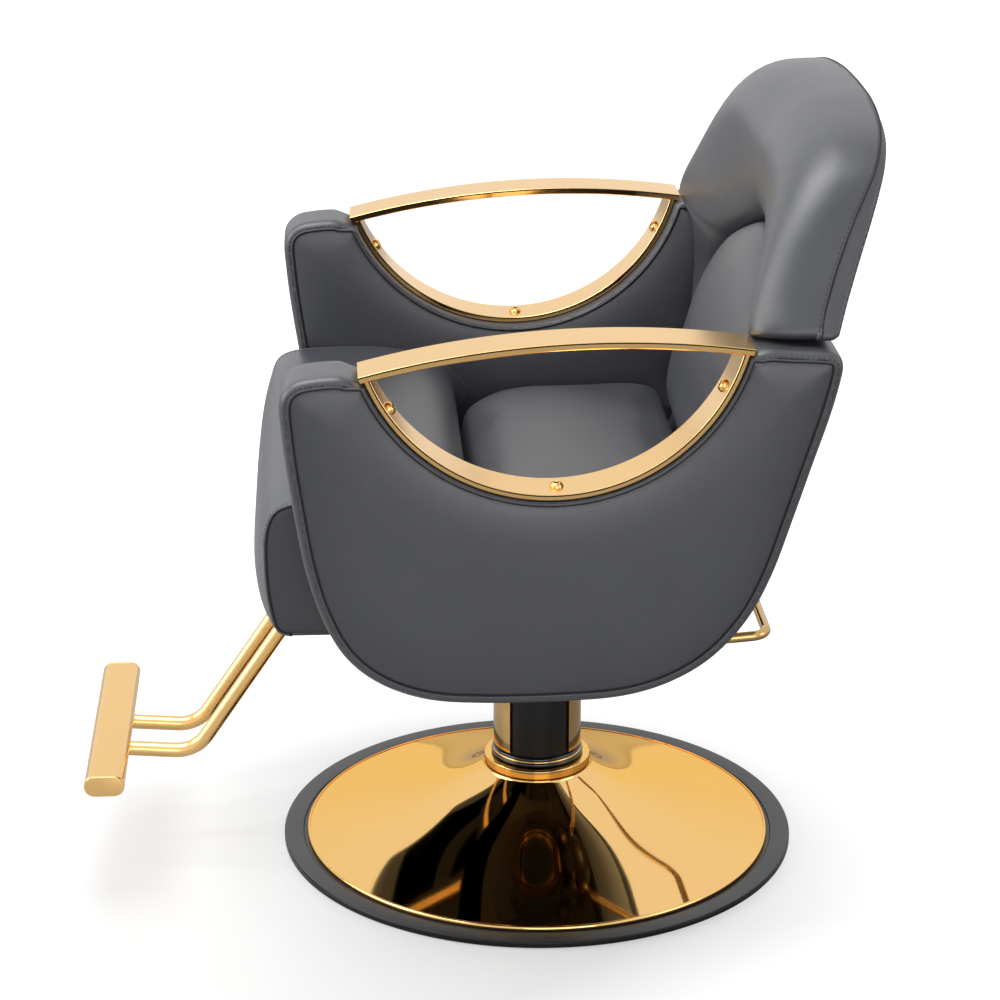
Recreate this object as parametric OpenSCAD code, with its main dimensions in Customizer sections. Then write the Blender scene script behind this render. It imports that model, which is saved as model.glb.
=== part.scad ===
/* [Base] */
// Radius of the round floor plate
base_r = 280; // [260:1:300]
// Height of the plate's top face above the floor
plate_top = 8; // [7:0.5:12]
// Width of the chamfer round the plate's edge
plate_chamfer = 1; // [0.5:0.1:1.5]
// Height that the rubber foot ring stands below the plate
foot_drop = 1.5; // [1:0.1:2.5]
// Depth of the grooves that hold the foot ring and the cover's edge
plate_groove = 1.5; // [1:0.1:2]
// Width of the rubber foot ring
foot_w = 12; // [8:1:16]
// Radius of the rolled edge of the flared cover
cover_r = 254.6; // [240:0.2:256]
// Sheet thickness of the flared cover
cover_wall = 1.5; // [1:0.1:2.5]
// Radius of the roll round the cover's edge
cover_roll = 2.5; // [2:0.1:3]
// Height of the cover's neck above the floor
neck_top = 84; // [76:1:92]
// Outer radius of the cover's neck
neck_r = 59; // [58.5:0.1:62]
// Height that the cover's flare would rise to the neck at its rim's slope
flare_rise = 54; // [10:1:64]
// Power of the curve that bends the flare up to the neck
flare_power = 5.6; // [2.2:0.1:7]
// Clear gap between the cover's edge and the plate's margin
margin_gap = 3.8; // [2:0.1:5]

/* [Column] */
// Radius of the fixed pump barrel
barrel_r = 45; // [44:0.1:45.5]
// Height of the barrel's top above the floor
barrel_top = 250; // [245:1:251]
// Radius of the barrel's inner bore
barrel_bore = 36; // [32:0.5:38]
// Thickness of the barrel's bottom flange
flange_t = 8; // [6:1:10]
// Radius of the barrel's bottom flange
flange_r = 80; // [72:1:88]
// Radius of the pump's ram
ram_r = 22; // [18:0.5:24]
// Height of the piston on the ram's lower end
piston_h = 24; // [18:1:30]
// Length of the bush that guides the ram
bush_h = 22; // [16:1:28]
// Outer radius of the column's bright sleeve
sleeve_r = 48; // [48:0.1:49]
// Wall of the column's bright sleeve
sleeve_wall = 1.7; // [1.2:0.1:2]
// Height of the sleeve's lower edge above the floor
sleeve_low = 108.5; // [108:0.5:112]
// Height of the sleeve's upper edge above the floor
sleeve_top = 268; // [264:1:272]
// Width of the two side slots in the sleeve
slot_w = 64.6; // [50:0.2:70]
// Height of the closed band above the slots
slot_band = 16; // [12:1:20]
// Outer radius of the bright collar on the cover's neck
collar_r = 58; // [56:0.2:58.4]
// Height of the collar
collar_h = 10; // [8:0.5:12]
// Height of the shadow gap under the collar
collar_gap = 2; // [1:0.1:3]
// Outer radius of the rubber dust seal
seal_r = 50; // [49:0.1:51]
// Height of the rubber dust seal
seal_h = 11; // [10:0.5:11.5]
// Section of the thin bright ring in the dust seal
seal_trim_d = 2.4; // [2:0.1:3]
// Travel of the pump
lift_travel = 120; // [100:5:130]
// Height of the pump head's top face above the floor
head_top = 313; // [310:1:316]
// Radius of the head's bolting flange
head_flange_r = 72; // [68:1:76]
// Thickness of the head's bolting flange
head_flange_t = 6; // [5:0.5:8]
// Radius of the spigot on which the head turns
spigot_r = 15; // [12:0.5:17]
// Height of the spigot above the ram's shoulder
spigot_h = 16; // [12:1:18]
// Thickness of the bearing ring under the head
bearing_t = 4; // [3:0.5:5]

/* [Pedal] */
// Radius of the pedal's round rod
pedal_rod_r = 5.5; // [4.5:0.1:6]
// Half of the distance between the pedal's side rods
pedal_half_w = 70; // [60:1:80]
// Distance of the pedal's rear bar behind the column's axis
pedal_reach = 241; // [220:1:250]
// Height of the pedal's rear bar above the floor
pedal_rear_z = 256; // [250:1:262]
// Height of the pedal's lower bends above the floor
pedal_low_z = 249; // [244:1:254]
// Centre-line radius of the pedal's bends
pedal_bend = 16; // [12:1:20]
// Distance of the pedal's pivot behind the column's axis
pivot_y = 62; // [60:0.5:64]
// Height of the pedal's pivot above the floor
pivot_z = 298; // [297:0.2:298.4]
// Radius of the pivot pin
pivot_pin_r = 5; // [4:0.5:5.5]
// Outer radius of the pedal's hub
hub_r = 8.5; // [8:0.1:8.8]
// Length of the pedal's hub
hub_w = 38; // [30:1:42]
// Thickness of the two ears that carry the pin
ear_t = 8; // [6:1:10]
// Distance of the plunger behind the pivot
plunger_arm = 20; // [18:0.5:22]
// Radius of the plunger
plunger_r = 5; // [4:0.5:6]

/* [Seat] */
// Height of the seat board's underside above the floor
seat_z = 344; // [340:1:348]
// Thickness of the seat board
seat_board_t = 18; // [15:1:21]
// Side of the square frame tube
tube_s = 25; // [20:1:28]
// Wall of the square frame tube
tube_wall = 2; // [1.5:0.1:3]
// Gap between the front roll and a side panel
roll_side_gap = 4; // [2:0.5:8]
// Front of the roll's side seam, ahead of the column's axis
roll_front = 287.5; // [280:0.5:292]
// Depth of the front roll
roll_depth = 242.5; // [236:0.5:246]
// Height of the roll's side seam above the seat board's underside
roll_h = 142; // [136:1:150]
// Height that the roll's front and top swell between its side seams
roll_crown = 16; // [6:0.5:18]
// Gap between the seat pad and a side panel
pad_side_gap = 10; // [6:1:18]
// Front of the seat pad, ahead of the column's axis
pad_front = 81; // [74:1:86]
// Rear of the seat pad, behind the column's axis
pad_rear = 158; // [150:1:160]
// Front corner radius of the seat pad
pad_corner = 45; // [35:1:55]
// Rear corner radius of the seat pad
pad_rear_corner = 22; // [15:1:30]
// Height of the seat pad's sides
pad_side_h = 62; // [56:1:68]
// Height that the seat pad swells above its sides
pad_crown = 32; // [20:1:36]
// Side of the steel plate under the seat
top_plate_w = 190; // [180:2:200]
// Thickness of the steel plate under the seat
top_plate_t = 6; // [5:0.5:6]

/* [Side panels] */
// Distance of a panel's outer face from the middle
panel_out = 327; // [322:1:330]
// Thickness of a padded panel
panel_t = 65; // [60:1:65]
// Front of the panels, ahead of the column's axis
panel_front = 268; // [262:1:272]
// Depth of a panel from front to rear
panel_depth = 532; // [528:1:536]
// Height of a panel's lowest point above the floor
panel_low = 295; // [292:1:298]
// Height of a panel
panel_h = 355.5; // [350:0.5:356]
// Radius of the panels' rounded edges
panel_edge = 9; // [6:0.5:10]
// Thickness of the board inside a panel
side_board_t = 18; // [15:1:21]

/* [Armrests] */
// Distance of an armrest's middle from its panel's outer face
arm_set_in = 25; // [25:0.5:27]
// Width of the armrest frames
arm_w = 49.6; // [44:0.2:50]
// Radius of the outside of the lower band
band_r = 191.5; // [188:0.5:193]
// Thickness of the lower band
band_t = 6; // [4:0.5:7]
// Height of the band's centre of curvature above the floor
band_z = 697; // [696:0.5:698]
// Distance of the band's centre of curvature ahead of the column's axis
band_ahead = 10; // [8:0.5:12]
// Thickness of the arched top bar
arm_bar_t = 7; // [5:0.5:8]
// Radius of the top bar's arch
arch_r = 939; // [900:1:980]
// Height of the arch's highest point above the floor
arch_top = 662; // [660:0.5:664]
// Distance of the arch's highest point behind the column's axis
arch_y = 44; // [40:1:48]
// Length that the top bar's pointed ends stand past the band
bar_tip = 3.5; // [1:0.5:6]
// Radius of the armrest screws' heads
arm_screw_head = 5.6; // [5:0.1:6]

/* [Back] */
// Distance of the back's rear face behind the axis at the panels' tops
knee_y = 257; // [252:0.5:257.5]
// Height of the back's knee, level with the panels' tops
knee_z = 646; // [646:0.5:648]
// Lean of the back below the knee
lean_low = 13.7; // [12:0.1:13.7]
// Lean of the back above the knee
lean_top = 20; // [17:0.5:22]
// Thickness of the back board, measured front to rear
back_t = 22; // [18:0.5:24]
// How far the back reaches out over a side panel
back_overhang = 50; // [44:1:54]
// Height of the upper back along its slope
back_h = 206; // [194:1:218]
// Length of the board below the knee along its slope
board_drop = 236; // [230:1:240]
// Greatest thickness of the arched pad in front of the board
arch_pad_t = 64; // [50:1:72]
// Gap between the lumbar cushion and a side panel
lumbar_side_gap = 10; // [6:1:18]
// Greatest swell of the lumbar cushion
lumbar_crown = 34; // [20:1:38]
// Thickness of the lumbar cushion at its edge
lumbar_edge = 12; // [8:0.5:14]

/* [Footrest] */
// Length of the footrest's cross bar
foot_bar_l = 301; // [280:1:320]
// Depth of the cross bar's flat-oval section
foot_bar_w = 42; // [36:0.5:46]
// Height of the cross bar's flat-oval section
foot_bar_h = 22.5; // [20:0.5:25]
// Wall of the cross bar's tube
foot_bar_wall = 2; // [1.5:0.1:3]
// Thickness of the cross bar's end caps
foot_cap_t = 3; // [2:0.5:5]
// Distance of the cross bar ahead of the column's axis
foot_bar_ahead = 463; // [450:1:480]
// Height of the cross bar's middle above the floor
foot_bar_z = 136.5; // [132:0.5:142]
// Radius of the footrest's rods
rod_r = 8; // [7:0.5:9]
// Half of the distance between the rods
rod_half = 35; // [28:1:40]
// Height of the rods where they meet the cross bar
rod_bar_z = 127; // [126:0.5:136]
// Height of the rods' lower bend
rod_low_z = 121; // [118:0.5:126]
// Distance of the rods' lower bend ahead of the column's axis
rod_low_ahead = 373; // [365:1:385]
// Distance of the rods' upper bend ahead of the column's axis
rod_top_ahead = 246; // [240:1:254]
// Centre-line radius of the rods' bends
rod_bend = 38; // [30:1:42]

/* [Clearances] */
// Gap left between pieces that are seated on each other
seat_gap = 0.3; // [0.2:0.05:0.5]
// Radial play of the pieces that slide or turn in each other
run_gap = 0.05; // [0.02:0.01:0.1]
// Radial play of the bolts in their holes
bolt_gap = 0.3; // [0.2:0.05:0.5]

/* [Hidden] */
$fn = 96;

gold = "#e0a850";
dark = "#2b2b2f";
leather = "#4b4d52";
steel = "#9a9da1";
ply = "#b98d5a";

// Overrun of every cut past the faces that it opens
over = 1;
// Facets of the small round blends
blend_fn = 32;

// Bolts
m8_r = 4;
m8_head_r = 6.5;
m8_head_h = 5;
m10_r = 5;
m10_head_r = 8.5;
m10_head_h = 6;

// Point on a smooth curve between b and c, with neighbours a and d
function curve_point(a, b, c, d, t) =
    (2 * b + t * (c - a) + t * t * (2 * a - 5 * b + 4 * c - d) + t * t * t * (3 * b - a - 3 * c + d)) / 2;
// Smooth curve through the points of an open list
function smooth(p, steps) = [
    for (i = [0 : len(p) - 2], k = [0 : steps - 1])
        curve_point(p[max(i - 1, 0)], p[i], p[i + 1], p[min(i + 2, len(p) - 1)], k / steps),
    p[len(p) - 1],
];
function unit(v) = v / norm(v);
// Outward normal at each point of a closed counter-clockwise outline
function normals(p) = [
    for (i = [0 : len(p) - 1])
        let (d = unit(p[(i + 1) % len(p)] - p[(i - 1 + len(p)) % len(p)])) [d[1], -d[0]],
];
function reversed(p) = [for (i = [len(p) - 1 : -1 : 0]) p[i]];
function mirrored(p) = [for (q = reversed(p)) [-q[0], q[1]]];

// Triangles between rings of n points each, which run counter-clockwise about the way they are stacked
function skin_faces(n, rings) = [
    for (r = [0 : rings - 2], i = [0 : n - 1]) each [
        [r * n + i, (r + 1) * n + i, (r + 1) * n + (i + 1) % n],
        [r * n + i, (r + 1) * n + (i + 1) % n, r * n + (i + 1) % n],
    ],
];
// Closed solid through rings of points, with flat ends
module skin(rings) {
    n = len(rings[0]);
    last = (len(rings) - 1) * n;
    polyhedron(
        points = [for (r = rings) each r],
        faces = concat(
            [[for (i = [0 : n - 1]) i]],
            skin_faces(n, len(rings)),
            [[for (i = [n - 1 : -1 : 0]) last + i]]
        )
    );
}
// Triangles that close a ring of n points which is symmetric about its first point
function level_cap(n) = [
    [0, 1, n - 1],
    for (i = [1 : n / 2 - 2]) each [[i, i + 1, n - i], [n - i, i + 1, n - i - 1]],
    [n / 2 - 1, n / 2, n / 2 + 1],
];
// Closed solid like skin, for symmetric rings whose ends are bent
module bent_skin(rings) {
    n = len(rings[0]);
    last = (len(rings) - 1) * n;
    polyhedron(
        points = [for (r = rings) each r],
        faces = concat(
            level_cap(n),
            skin_faces(n, len(rings)),
            [for (t = level_cap(n)) [last + t[2], last + t[1], last + t[0]]]
        )
    );
}

// Path through corner points with an arc of the bend radius at each corner
bend_steps = 8;
function bent_path(p, bend) = [
    p[0],
    for (i = [1 : len(p) - 2])
        let (
            a = unit(p[i] - p[i - 1]),
            b = unit(p[i + 1] - p[i]),
            turn = acos(a * b),
            side = unit(b - (a * b) * a),
            start = p[i] - bend * tan(turn / 2) * a
        )
        for (k = [0 : bend_steps])
            start + bend * (sin(turn * k / bend_steps) * a + (1 - cos(turn * k / bend_steps)) * side),
    p[len(p) - 1],
];
// Round rod along a path that never runs upright
rod_sides = 20;
function path_way(p, i) = unit(p[min(i + 1, len(p) - 1)] - p[i]);
function path_turn(p, i) = i == 0 ? path_way(p, 0)
    : i == len(p) - 1 ? unit(p[i] - p[i - 1])
    : unit(path_way(p, i) + path_way(p, i - 1));
module bent_rod(p, r) {
    skin([
        for (i = [0 : len(p) - 1])
            let (t = path_turn(p, i), u = unit(cross(t, [0, 0, 1])), v = cross(t, u))
            [for (k = [0 : rod_sides - 1])
                p[i] + r * (cos(k * 360 / rod_sides) * u + sin(k * 360 / rod_sides) * v)],
    ]);
}
// Hexagon-headed bolt, head below the origin and shank upward
module hex_bolt(shank_r, shank_l, head_r, head_h) {
    translate([0, 0, -head_h]) cylinder(h = head_h, r = head_r, $fn = 6);
    cylinder(h = shank_l, r = shank_r);
}
module both_sides() {
    children();
    mirror([1, 0, 0]) children();
}

// Base
plate_low = foot_drop;
foot_ring_r = base_r - foot_w;
groove_out = cover_r + margin_gap;
groove_in = cover_r - 2 * cover_roll - seat_gap;

module foot_ring() {
    color(dark) difference() {
        cylinder(h = plate_low + plate_groove - seat_gap, r = foot_ring_r);
        translate([0, 0, -over]) cylinder(h = plate_low + plate_groove + 2 * over, r = foot_ring_r - foot_w);
    }
}

barrel_bolt_pcd_r = (barrel_r + flange_r) / 2;
barrel_bolt_count = 6;
module at_barrel_bolts() {
    for (i = [0 : barrel_bolt_count - 1]) rotate(i * 360 / barrel_bolt_count)
        translate([barrel_bolt_pcd_r, 0, 0]) children();
}

module base_plate() {
    color(dark) difference() {
        rotate_extrude() polygon([
            [0, plate_low],
            [base_r - plate_chamfer, plate_low],
            [base_r, plate_low + plate_chamfer],
            [base_r, plate_top - plate_chamfer],
            [base_r - plate_chamfer, plate_top],
            [0, plate_top],
        ]);
        translate([0, 0, plate_low - over]) difference() {
            cylinder(h = over + plate_groove, r = foot_ring_r + seat_gap);
            translate([0, 0, -over])
                cylinder(h = 3 * over + plate_groove, r = foot_ring_r - foot_w - seat_gap);
        }
        translate([0, 0, plate_top - plate_groove]) difference() {
            cylinder(h = over + plate_groove, r = groove_out);
            translate([0, 0, -over]) cylinder(h = 3 * over + plate_groove, r = groove_in);
        }
        at_barrel_bolts() translate([0, 0, plate_low - over])
            cylinder(h = plate_top + 2 * over, r = m10_r + bolt_gap);
    }
}

// Height of the cover's outer surface at a radius
cover_foot = plate_top - plate_groove + seat_gap;
roll_top = cover_foot + 2 * cover_roll;
function flare_z(r) = let (share = (cover_r - r) / (cover_r - neck_r))
    roll_top - cover_wall + flare_rise * share
        + (neck_top - roll_top + cover_wall - flare_rise) * pow(share, flare_power);
flare_steps = 20;
function flare_r(i) = cover_r - cover_roll - (cover_r - cover_roll - neck_r) * i / flare_steps;

module base_cover() {
    color(gold) {
        rotate_extrude() polygon(concat(
            [for (i = [0 : flare_steps]) [flare_r(i), flare_z(flare_r(i))]],
            [[neck_r - cover_wall, neck_top]],
            [for (i = [flare_steps : -1 : 0]) [flare_r(i) - cover_wall / 2, flare_z(flare_r(i)) - cover_wall]]
        ));
        rotate_extrude() translate([cover_r - cover_roll, cover_foot + cover_roll])
            circle(r = cover_roll, $fn = blend_fn);
    }
}

collar_low = neck_top + collar_gap;
collar_top = collar_low + collar_h;
module collar_ring() {
    color(gold) difference() {
        union() {
            translate([0, 0, collar_low]) cylinder(h = collar_h, r = collar_r);
            translate([0, 0, neck_top + seat_gap]) cylinder(h = collar_gap, r = collar_r - collar_gap);
        }
        translate([0, 0, neck_top - over])
            cylinder(h = collar_h + collar_gap + 2 * over, r = barrel_r + seat_gap);
    }
}

seal_low = collar_top + seat_gap;
trim_z = seal_low + seal_h / 2;
seal_trim_r = (seal_r + sleeve_r) / 2 - seal_trim_d / 2;
module dust_seal() {
    color(dark) difference() {
        union() {
            translate([0, 0, seal_low]) cylinder(h = seal_h, r = seal_trim_r);
            translate([0, 0, seal_low]) cylinder(h = seal_h / 2 - seal_trim_d / 2, r = seal_r);
        }
        translate([0, 0, seal_low - over]) cylinder(h = seal_h + 2 * over, r = barrel_r + seat_gap);
        rotate_extrude() translate([seal_trim_r, trim_z])
            circle(r = seal_trim_d / 2 + seat_gap, $fn = blend_fn);
    }
}
module seal_trim() {
    color(gold) rotate_extrude() translate([seal_trim_r, trim_z]) circle(r = seal_trim_d / 2, $fn = blend_fn);
}

// Pump, fixed part
flange_low = plate_top + seat_gap;
bore_low = flange_low + flange_t;
module barrel() {
    color(dark) difference() {
        union() {
            translate([0, 0, flange_low]) cylinder(h = barrel_top - flange_low, r = barrel_r);
            translate([0, 0, flange_low]) cylinder(h = flange_t, r = flange_r);
        }
        translate([0, 0, bore_low]) cylinder(h = barrel_top, r = barrel_bore);
        at_barrel_bolts() translate([0, 0, flange_low - over])
            cylinder(h = flange_t + 2 * over, r = m10_r + bolt_gap);
    }
}
module barrel_bolts() {
    color(steel) at_barrel_bolts() translate([0, 0, flange_low + flange_t]) mirror([0, 0, 1])
        hex_bolt(m10_r, flange_low + flange_t - plate_low, m10_head_r, m10_head_h);
}
module gland_bush() {
    color("#b08a4a") difference() {
        translate([0, 0, barrel_top - bush_h]) cylinder(h = bush_h, r = barrel_bore - run_gap);
        translate([0, 0, barrel_top - bush_h - over]) cylinder(h = bush_h + 2 * over, r = ram_r + run_gap);
    }
}

// Pump, lifting part
ram_low = barrel_top - bush_h - lift_travel - piston_h - seat_gap;
shoulder_z = head_top - head_flange_t - spigot_h - bearing_t;
bearing_top = shoulder_z + bearing_t;
module ram() {
    color(steel) {
        translate([0, 0, ram_low]) cylinder(h = shoulder_z - ram_low, r = ram_r);
        translate([0, 0, shoulder_z]) cylinder(h = bearing_t + spigot_h, r = spigot_r);
    }
}
module piston() {
    color(dark) difference() {
        translate([0, 0, ram_low]) cylinder(h = piston_h, r = barrel_bore - run_gap);
        translate([0, 0, ram_low - over]) cylinder(h = piston_h + 2 * over, r = ram_r);
    }
}
module bearing_ring() {
    color(steel) difference() {
        translate([0, 0, shoulder_z]) cylinder(h = bearing_t, r = ram_r);
        translate([0, 0, shoulder_z - over]) cylinder(h = bearing_t + 2 * over, r = spigot_r + run_gap);
    }
}

// Pump, turning part
head_r = sleeve_r - sleeve_wall - seat_gap;
head_low = sleeve_top - slot_band + seat_gap;
head_bore_gap = 1.8;
head_wall_r = ram_r + head_bore_gap;
ear_in = hub_w / 2 + seat_gap;
ear_out = ear_in + ear_t;
ear_low = pivot_z - hub_r - ear_t / 2;
flange_under = head_top - head_flange_t;
plunger_y = pivot_y + plunger_arm;
boss_wall = 7;
boss_r = plunger_r + boss_wall;
plunger_collar_step = 3;
plunger_collar_r = plunger_r + plunger_collar_step;
plunger_collar_h = 4;
nose_r = 7;
nose_low = pivot_z - nose_r;
web_t = 10.5;
plunger_top = nose_low - seat_gap;
spring_show = 2;
boss_top = plunger_top - plunger_collar_h - spring_show;
spring_pocket = 10;
boss_low = boss_top - 2 * spring_pocket;
head_bolt_r = (head_r + head_flange_r) / 2;
module at_head_bolts() {
    for (i = [0 : 3]) rotate(45 + i * 90) translate([head_bolt_r, 0, 0]) children();
}

module pump_head() {
    color(dark) difference() {
        union() {
            translate([0, 0, head_low]) cylinder(h = head_top - head_low, r = head_r);
            translate([0, 0, flange_under]) cylinder(h = head_flange_t, r = head_flange_r);
            both_sides() translate([ear_in, 0, ear_low])
                cube([ear_t, pivot_y + hub_r, flange_under - ear_low + over]);
            translate([0, plunger_y, boss_low]) cylinder(h = boss_top - boss_low, r = boss_r);
            translate([-plunger_r, 0, sleeve_top + seat_gap])
                cube([2 * plunger_r, plunger_y, boss_top - sleeve_top - seat_gap]);
        }
        translate([0, 0, head_low - over])
            cylinder(h = bearing_top - head_low + over + seat_gap, r = head_wall_r);
        translate([0, 0, head_low])
            cylinder(h = bearing_top + spigot_h + seat_gap - head_low, r = spigot_r + run_gap);
        rotate([0, 90, 0]) translate([-pivot_z, pivot_y, -ear_out - over])
            cylinder(h = 2 * ear_out + 2 * over, r = pivot_pin_r);
        translate([0, plunger_y, boss_low - over])
            cylinder(h = boss_top - boss_low + 2 * over, r = plunger_r + run_gap);
        translate([0, plunger_y, boss_top - spring_pocket])
            cylinder(h = spring_pocket + over, r = plunger_collar_r + bolt_gap);
        at_head_bolts() translate([0, 0, flange_under - over])
            cylinder(h = head_flange_t + 2 * over, r = m8_r + bolt_gap);
        at_sleeve_screws() cylinder(h = sleeve_wall + 2 * m5_l, r = m5_r);
    }
}
m5_r = 2.5;
m5_head_r = 4;
m5_head_h = 1.6;
m5_l = 8;
sleeve_screw_z = sleeve_top - slot_band / 2;
// Radial places of the sleeve screws, pointing inward from the sleeve's outside
module at_sleeve_screws() {
    for (a = [90, 270]) rotate(a) translate([sleeve_r, 0, sleeve_screw_z]) rotate([0, -90, 0]) children();
}
module head_bolts() {
    color(steel) at_head_bolts() translate([0, 0, flange_under])
        hex_bolt(m8_r, head_flange_t + top_plate_t, m8_head_r, m8_head_h);
}
module pump_sleeve() {
    color(gold) difference() {
        translate([0, 0, sleeve_low]) cylinder(h = sleeve_top - sleeve_low, r = sleeve_r);
        translate([0, 0, sleeve_low - over])
            cylinder(h = sleeve_top - sleeve_low + 2 * over, r = sleeve_r - sleeve_wall);
        translate([-sleeve_r - over, -slot_w / 2, sleeve_low - over])
            cube([2 * sleeve_r + 2 * over, slot_w, sleeve_top - slot_band - sleeve_low + over]);
        at_sleeve_screws() cylinder(h = 2 * sleeve_wall, r = m5_r + bolt_gap);
    }
}
module sleeve_screws() {
    color(gold) at_sleeve_screws() {
        translate([0, 0, -m5_head_h]) cylinder(h = m5_head_h, r1 = m5_head_r - m5_head_h / 2, r2 = m5_head_r);
        cylinder(h = m5_l, r = m5_r);
    }
}
module pedal_pin() {
    color(steel) rotate([0, 90, 0]) translate([-pivot_z, pivot_y, -ear_out])
        cylinder(h = 2 * ear_out, r = pivot_pin_r);
}
module plunger_spring() {
    color(steel) difference() {
        translate([0, plunger_y, boss_top - spring_pocket + seat_gap])
            cylinder(h = spring_pocket + spring_show - 2 * seat_gap, r = plunger_collar_r);
        translate([0, plunger_y, boss_low]) cylinder(h = boss_top, r = plunger_r + seat_gap);
    }
}
module plunger() {
    color(steel) translate([0, plunger_y, 0]) {
        translate([0, 0, boss_low]) cylinder(h = plunger_top - boss_low, r = plunger_r);
        translate([0, 0, plunger_top - plunger_collar_h])
            cylinder(h = plunger_collar_h, r = plunger_collar_r);
    }
}

// Pedal
nose_half_w = hub_w / 2 - ear_t / 2;
module pedal() {
    corners = [
        [nose_half_w - pedal_rod_r, plunger_y - nose_r / 2, pivot_z],
        [pedal_half_w, plunger_y + pedal_half_w, pedal_low_z],
        [pedal_half_w, pedal_reach, pedal_rear_z],
        [-pedal_half_w, pedal_reach, pedal_rear_z],
        [-pedal_half_w, plunger_y + pedal_half_w, pedal_low_z],
        [pedal_rod_r - nose_half_w, plunger_y - nose_r / 2, pivot_z],
    ];
    color(gold) difference() {
        union() {
            translate([-hub_w / 2, pivot_y, pivot_z]) rotate([0, 90, 0]) cylinder(h = hub_w, r = hub_r);
            translate([-nose_half_w, pivot_y, pivot_z - web_t / 2])
                cube([2 * nose_half_w, plunger_arm, web_t]);
            translate([-nose_half_w, plunger_y, pivot_z]) rotate([0, 90, 0])
                cylinder(h = 2 * nose_half_w, r = nose_r);
            bent_rod(bent_path(corners, pedal_bend), pedal_rod_r);
        }
        translate([-hub_w / 2 - over, pivot_y, pivot_z]) rotate([0, 90, 0])
            cylinder(h = hub_w + 2 * over, r = pivot_pin_r + run_gap);
    }
}

// Seat structure
frame_top = seat_z;
frame_low = seat_z - tube_s;
panel_in = panel_out - panel_t;
roll_half_w = panel_in - roll_side_gap;
pad_half_w = panel_in - pad_side_gap;
arm_x = panel_out - arm_set_in;
back_half_w = panel_in + back_overhang;
lumbar_half_w = panel_in - lumbar_side_gap;
rail_out = panel_in - seat_gap;
rail_rear = 98;
frame_set_back = 107.5;
rail_front = roll_front - frame_set_back;
board_rear = rail_rear + tube_s;
middle_rail_y = rail_rear - 2 * tube_s - tube_wall;
cross_rails_y = [-rail_front, -middle_rail_y - tube_s, middle_rail_y, rail_rear - tube_s];
side_bolt_y = [-rail_front + 2 * tube_s, -tube_s, tube_s];
side_bolt_z = frame_low + tube_s / 2;
plate_bolt_x = top_plate_w / 2 - tube_s / 2;
plate_bolt_y = middle_rail_y + tube_s / 2;
foot_plate_w = 130;
foot_plate_d = 70;
foot_plate_t = 4;
foot_bolt_x = foot_plate_w / 2 - tube_s / 2;

module at_plate_bolts() {
    for (x = [-plate_bolt_x, plate_bolt_x], y = [-plate_bolt_y, plate_bolt_y])
        translate([x, y, 0]) children();
}
module at_side_bolts() {
    for (y = side_bolt_y)
        translate([rail_out - tube_s - seat_gap, y, side_bolt_z]) rotate([0, 90, 0]) children();
}
module at_foot_bolts() {
    for (x = [-foot_bolt_x, foot_bolt_x]) translate([x, tube_s / 2 - rail_front, 0]) children();
}

module top_plate() {
    color(steel) difference() {
        translate([-top_plate_w / 2, -top_plate_w / 2, head_top])
            cube([top_plate_w, top_plate_w, top_plate_t]);
        at_plate_bolts() translate([0, 0, head_top - over])
            cylinder(h = top_plate_t + 2 * over, r = m8_r + bolt_gap);
        at_head_bolts() translate([0, 0, head_top - over])
            cylinder(h = top_plate_t + 2 * over, r = m8_r + bolt_gap);
    }
}
module plate_bolts() {
    color(steel) at_plate_bolts() translate([0, 0, head_top])
        hex_bolt(m8_r, seat_z + seat_board_t / 2 - head_top, m8_head_r, m8_head_h);
}
// Square tube lying along y
module tube_y(length) {
    difference() {
        cube([tube_s, length, tube_s]);
        translate([tube_wall, -over, tube_wall])
            cube([tube_s - 2 * tube_wall, length + 2 * over, tube_s - 2 * tube_wall]);
    }
}
module side_rails() {
    color(dark) both_sides() difference() {
        translate([rail_out - tube_s, -rail_front, frame_low]) tube_y(rail_front + rail_rear);
        at_side_bolts() cylinder(h = tube_s + over, r = m8_r + bolt_gap);
    }
}
// Tubes across the frame, welded between the side rails
module cross_rails() {
    color(dark) difference() {
        for (y = cross_rails_y) translate([-rail_out + tube_s, y + tube_s, frame_low]) rotate(-90)
            tube_y(2 * rail_out - 2 * tube_s);
        at_plate_bolts() translate([0, 0, frame_low - over])
            cylinder(h = tube_s + 2 * over, r = m8_r + bolt_gap);
        at_foot_bolts() translate([0, 0, frame_low - over])
            cylinder(h = tube_s + 2 * over, r = m8_r + bolt_gap);
    }
}
// Foam between the seat board and the roll's end faces, and ahead of the board
board_side_foam = 8;
board_front_foam = 36;
seat_board_half = roll_half_w - board_side_foam;
seat_board_front = roll_front - board_front_foam;
module seat_board() {
    color(ply) difference() {
        translate([-seat_board_half, -seat_board_front, seat_z])
            cube([2 * seat_board_half, seat_board_front + board_rear, seat_board_t]);
        at_plate_bolts() translate([0, 0, seat_z - over])
            cylinder(h = over + seat_board_t / 2 + seat_gap, r = m8_r + bolt_gap);
    }
}

// Side seam of the front roll from the foot of its front over the top, as shares of its depth and height
roll_shares = [
    [0.105, 0], [0.068, 0.014], [0.040, 0.056], [0.022, 0.155], [0.006, 0.338], [0, 0.535], [0.002, 0.711],
    [0.019, 0.845], [0.047, 0.923], [0.097, 0.968], [0.175, 0.990], [0.300, 1], [0.443, 1], [0.567, 0.986],
    [0.690, 0.944], [0.794, 0.873], [0.889, 0.761], [0.946, 0.655], [0.979, 0.535], [0.996, 0.394],
    [1, 0.218], [1, 0],
];
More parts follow.
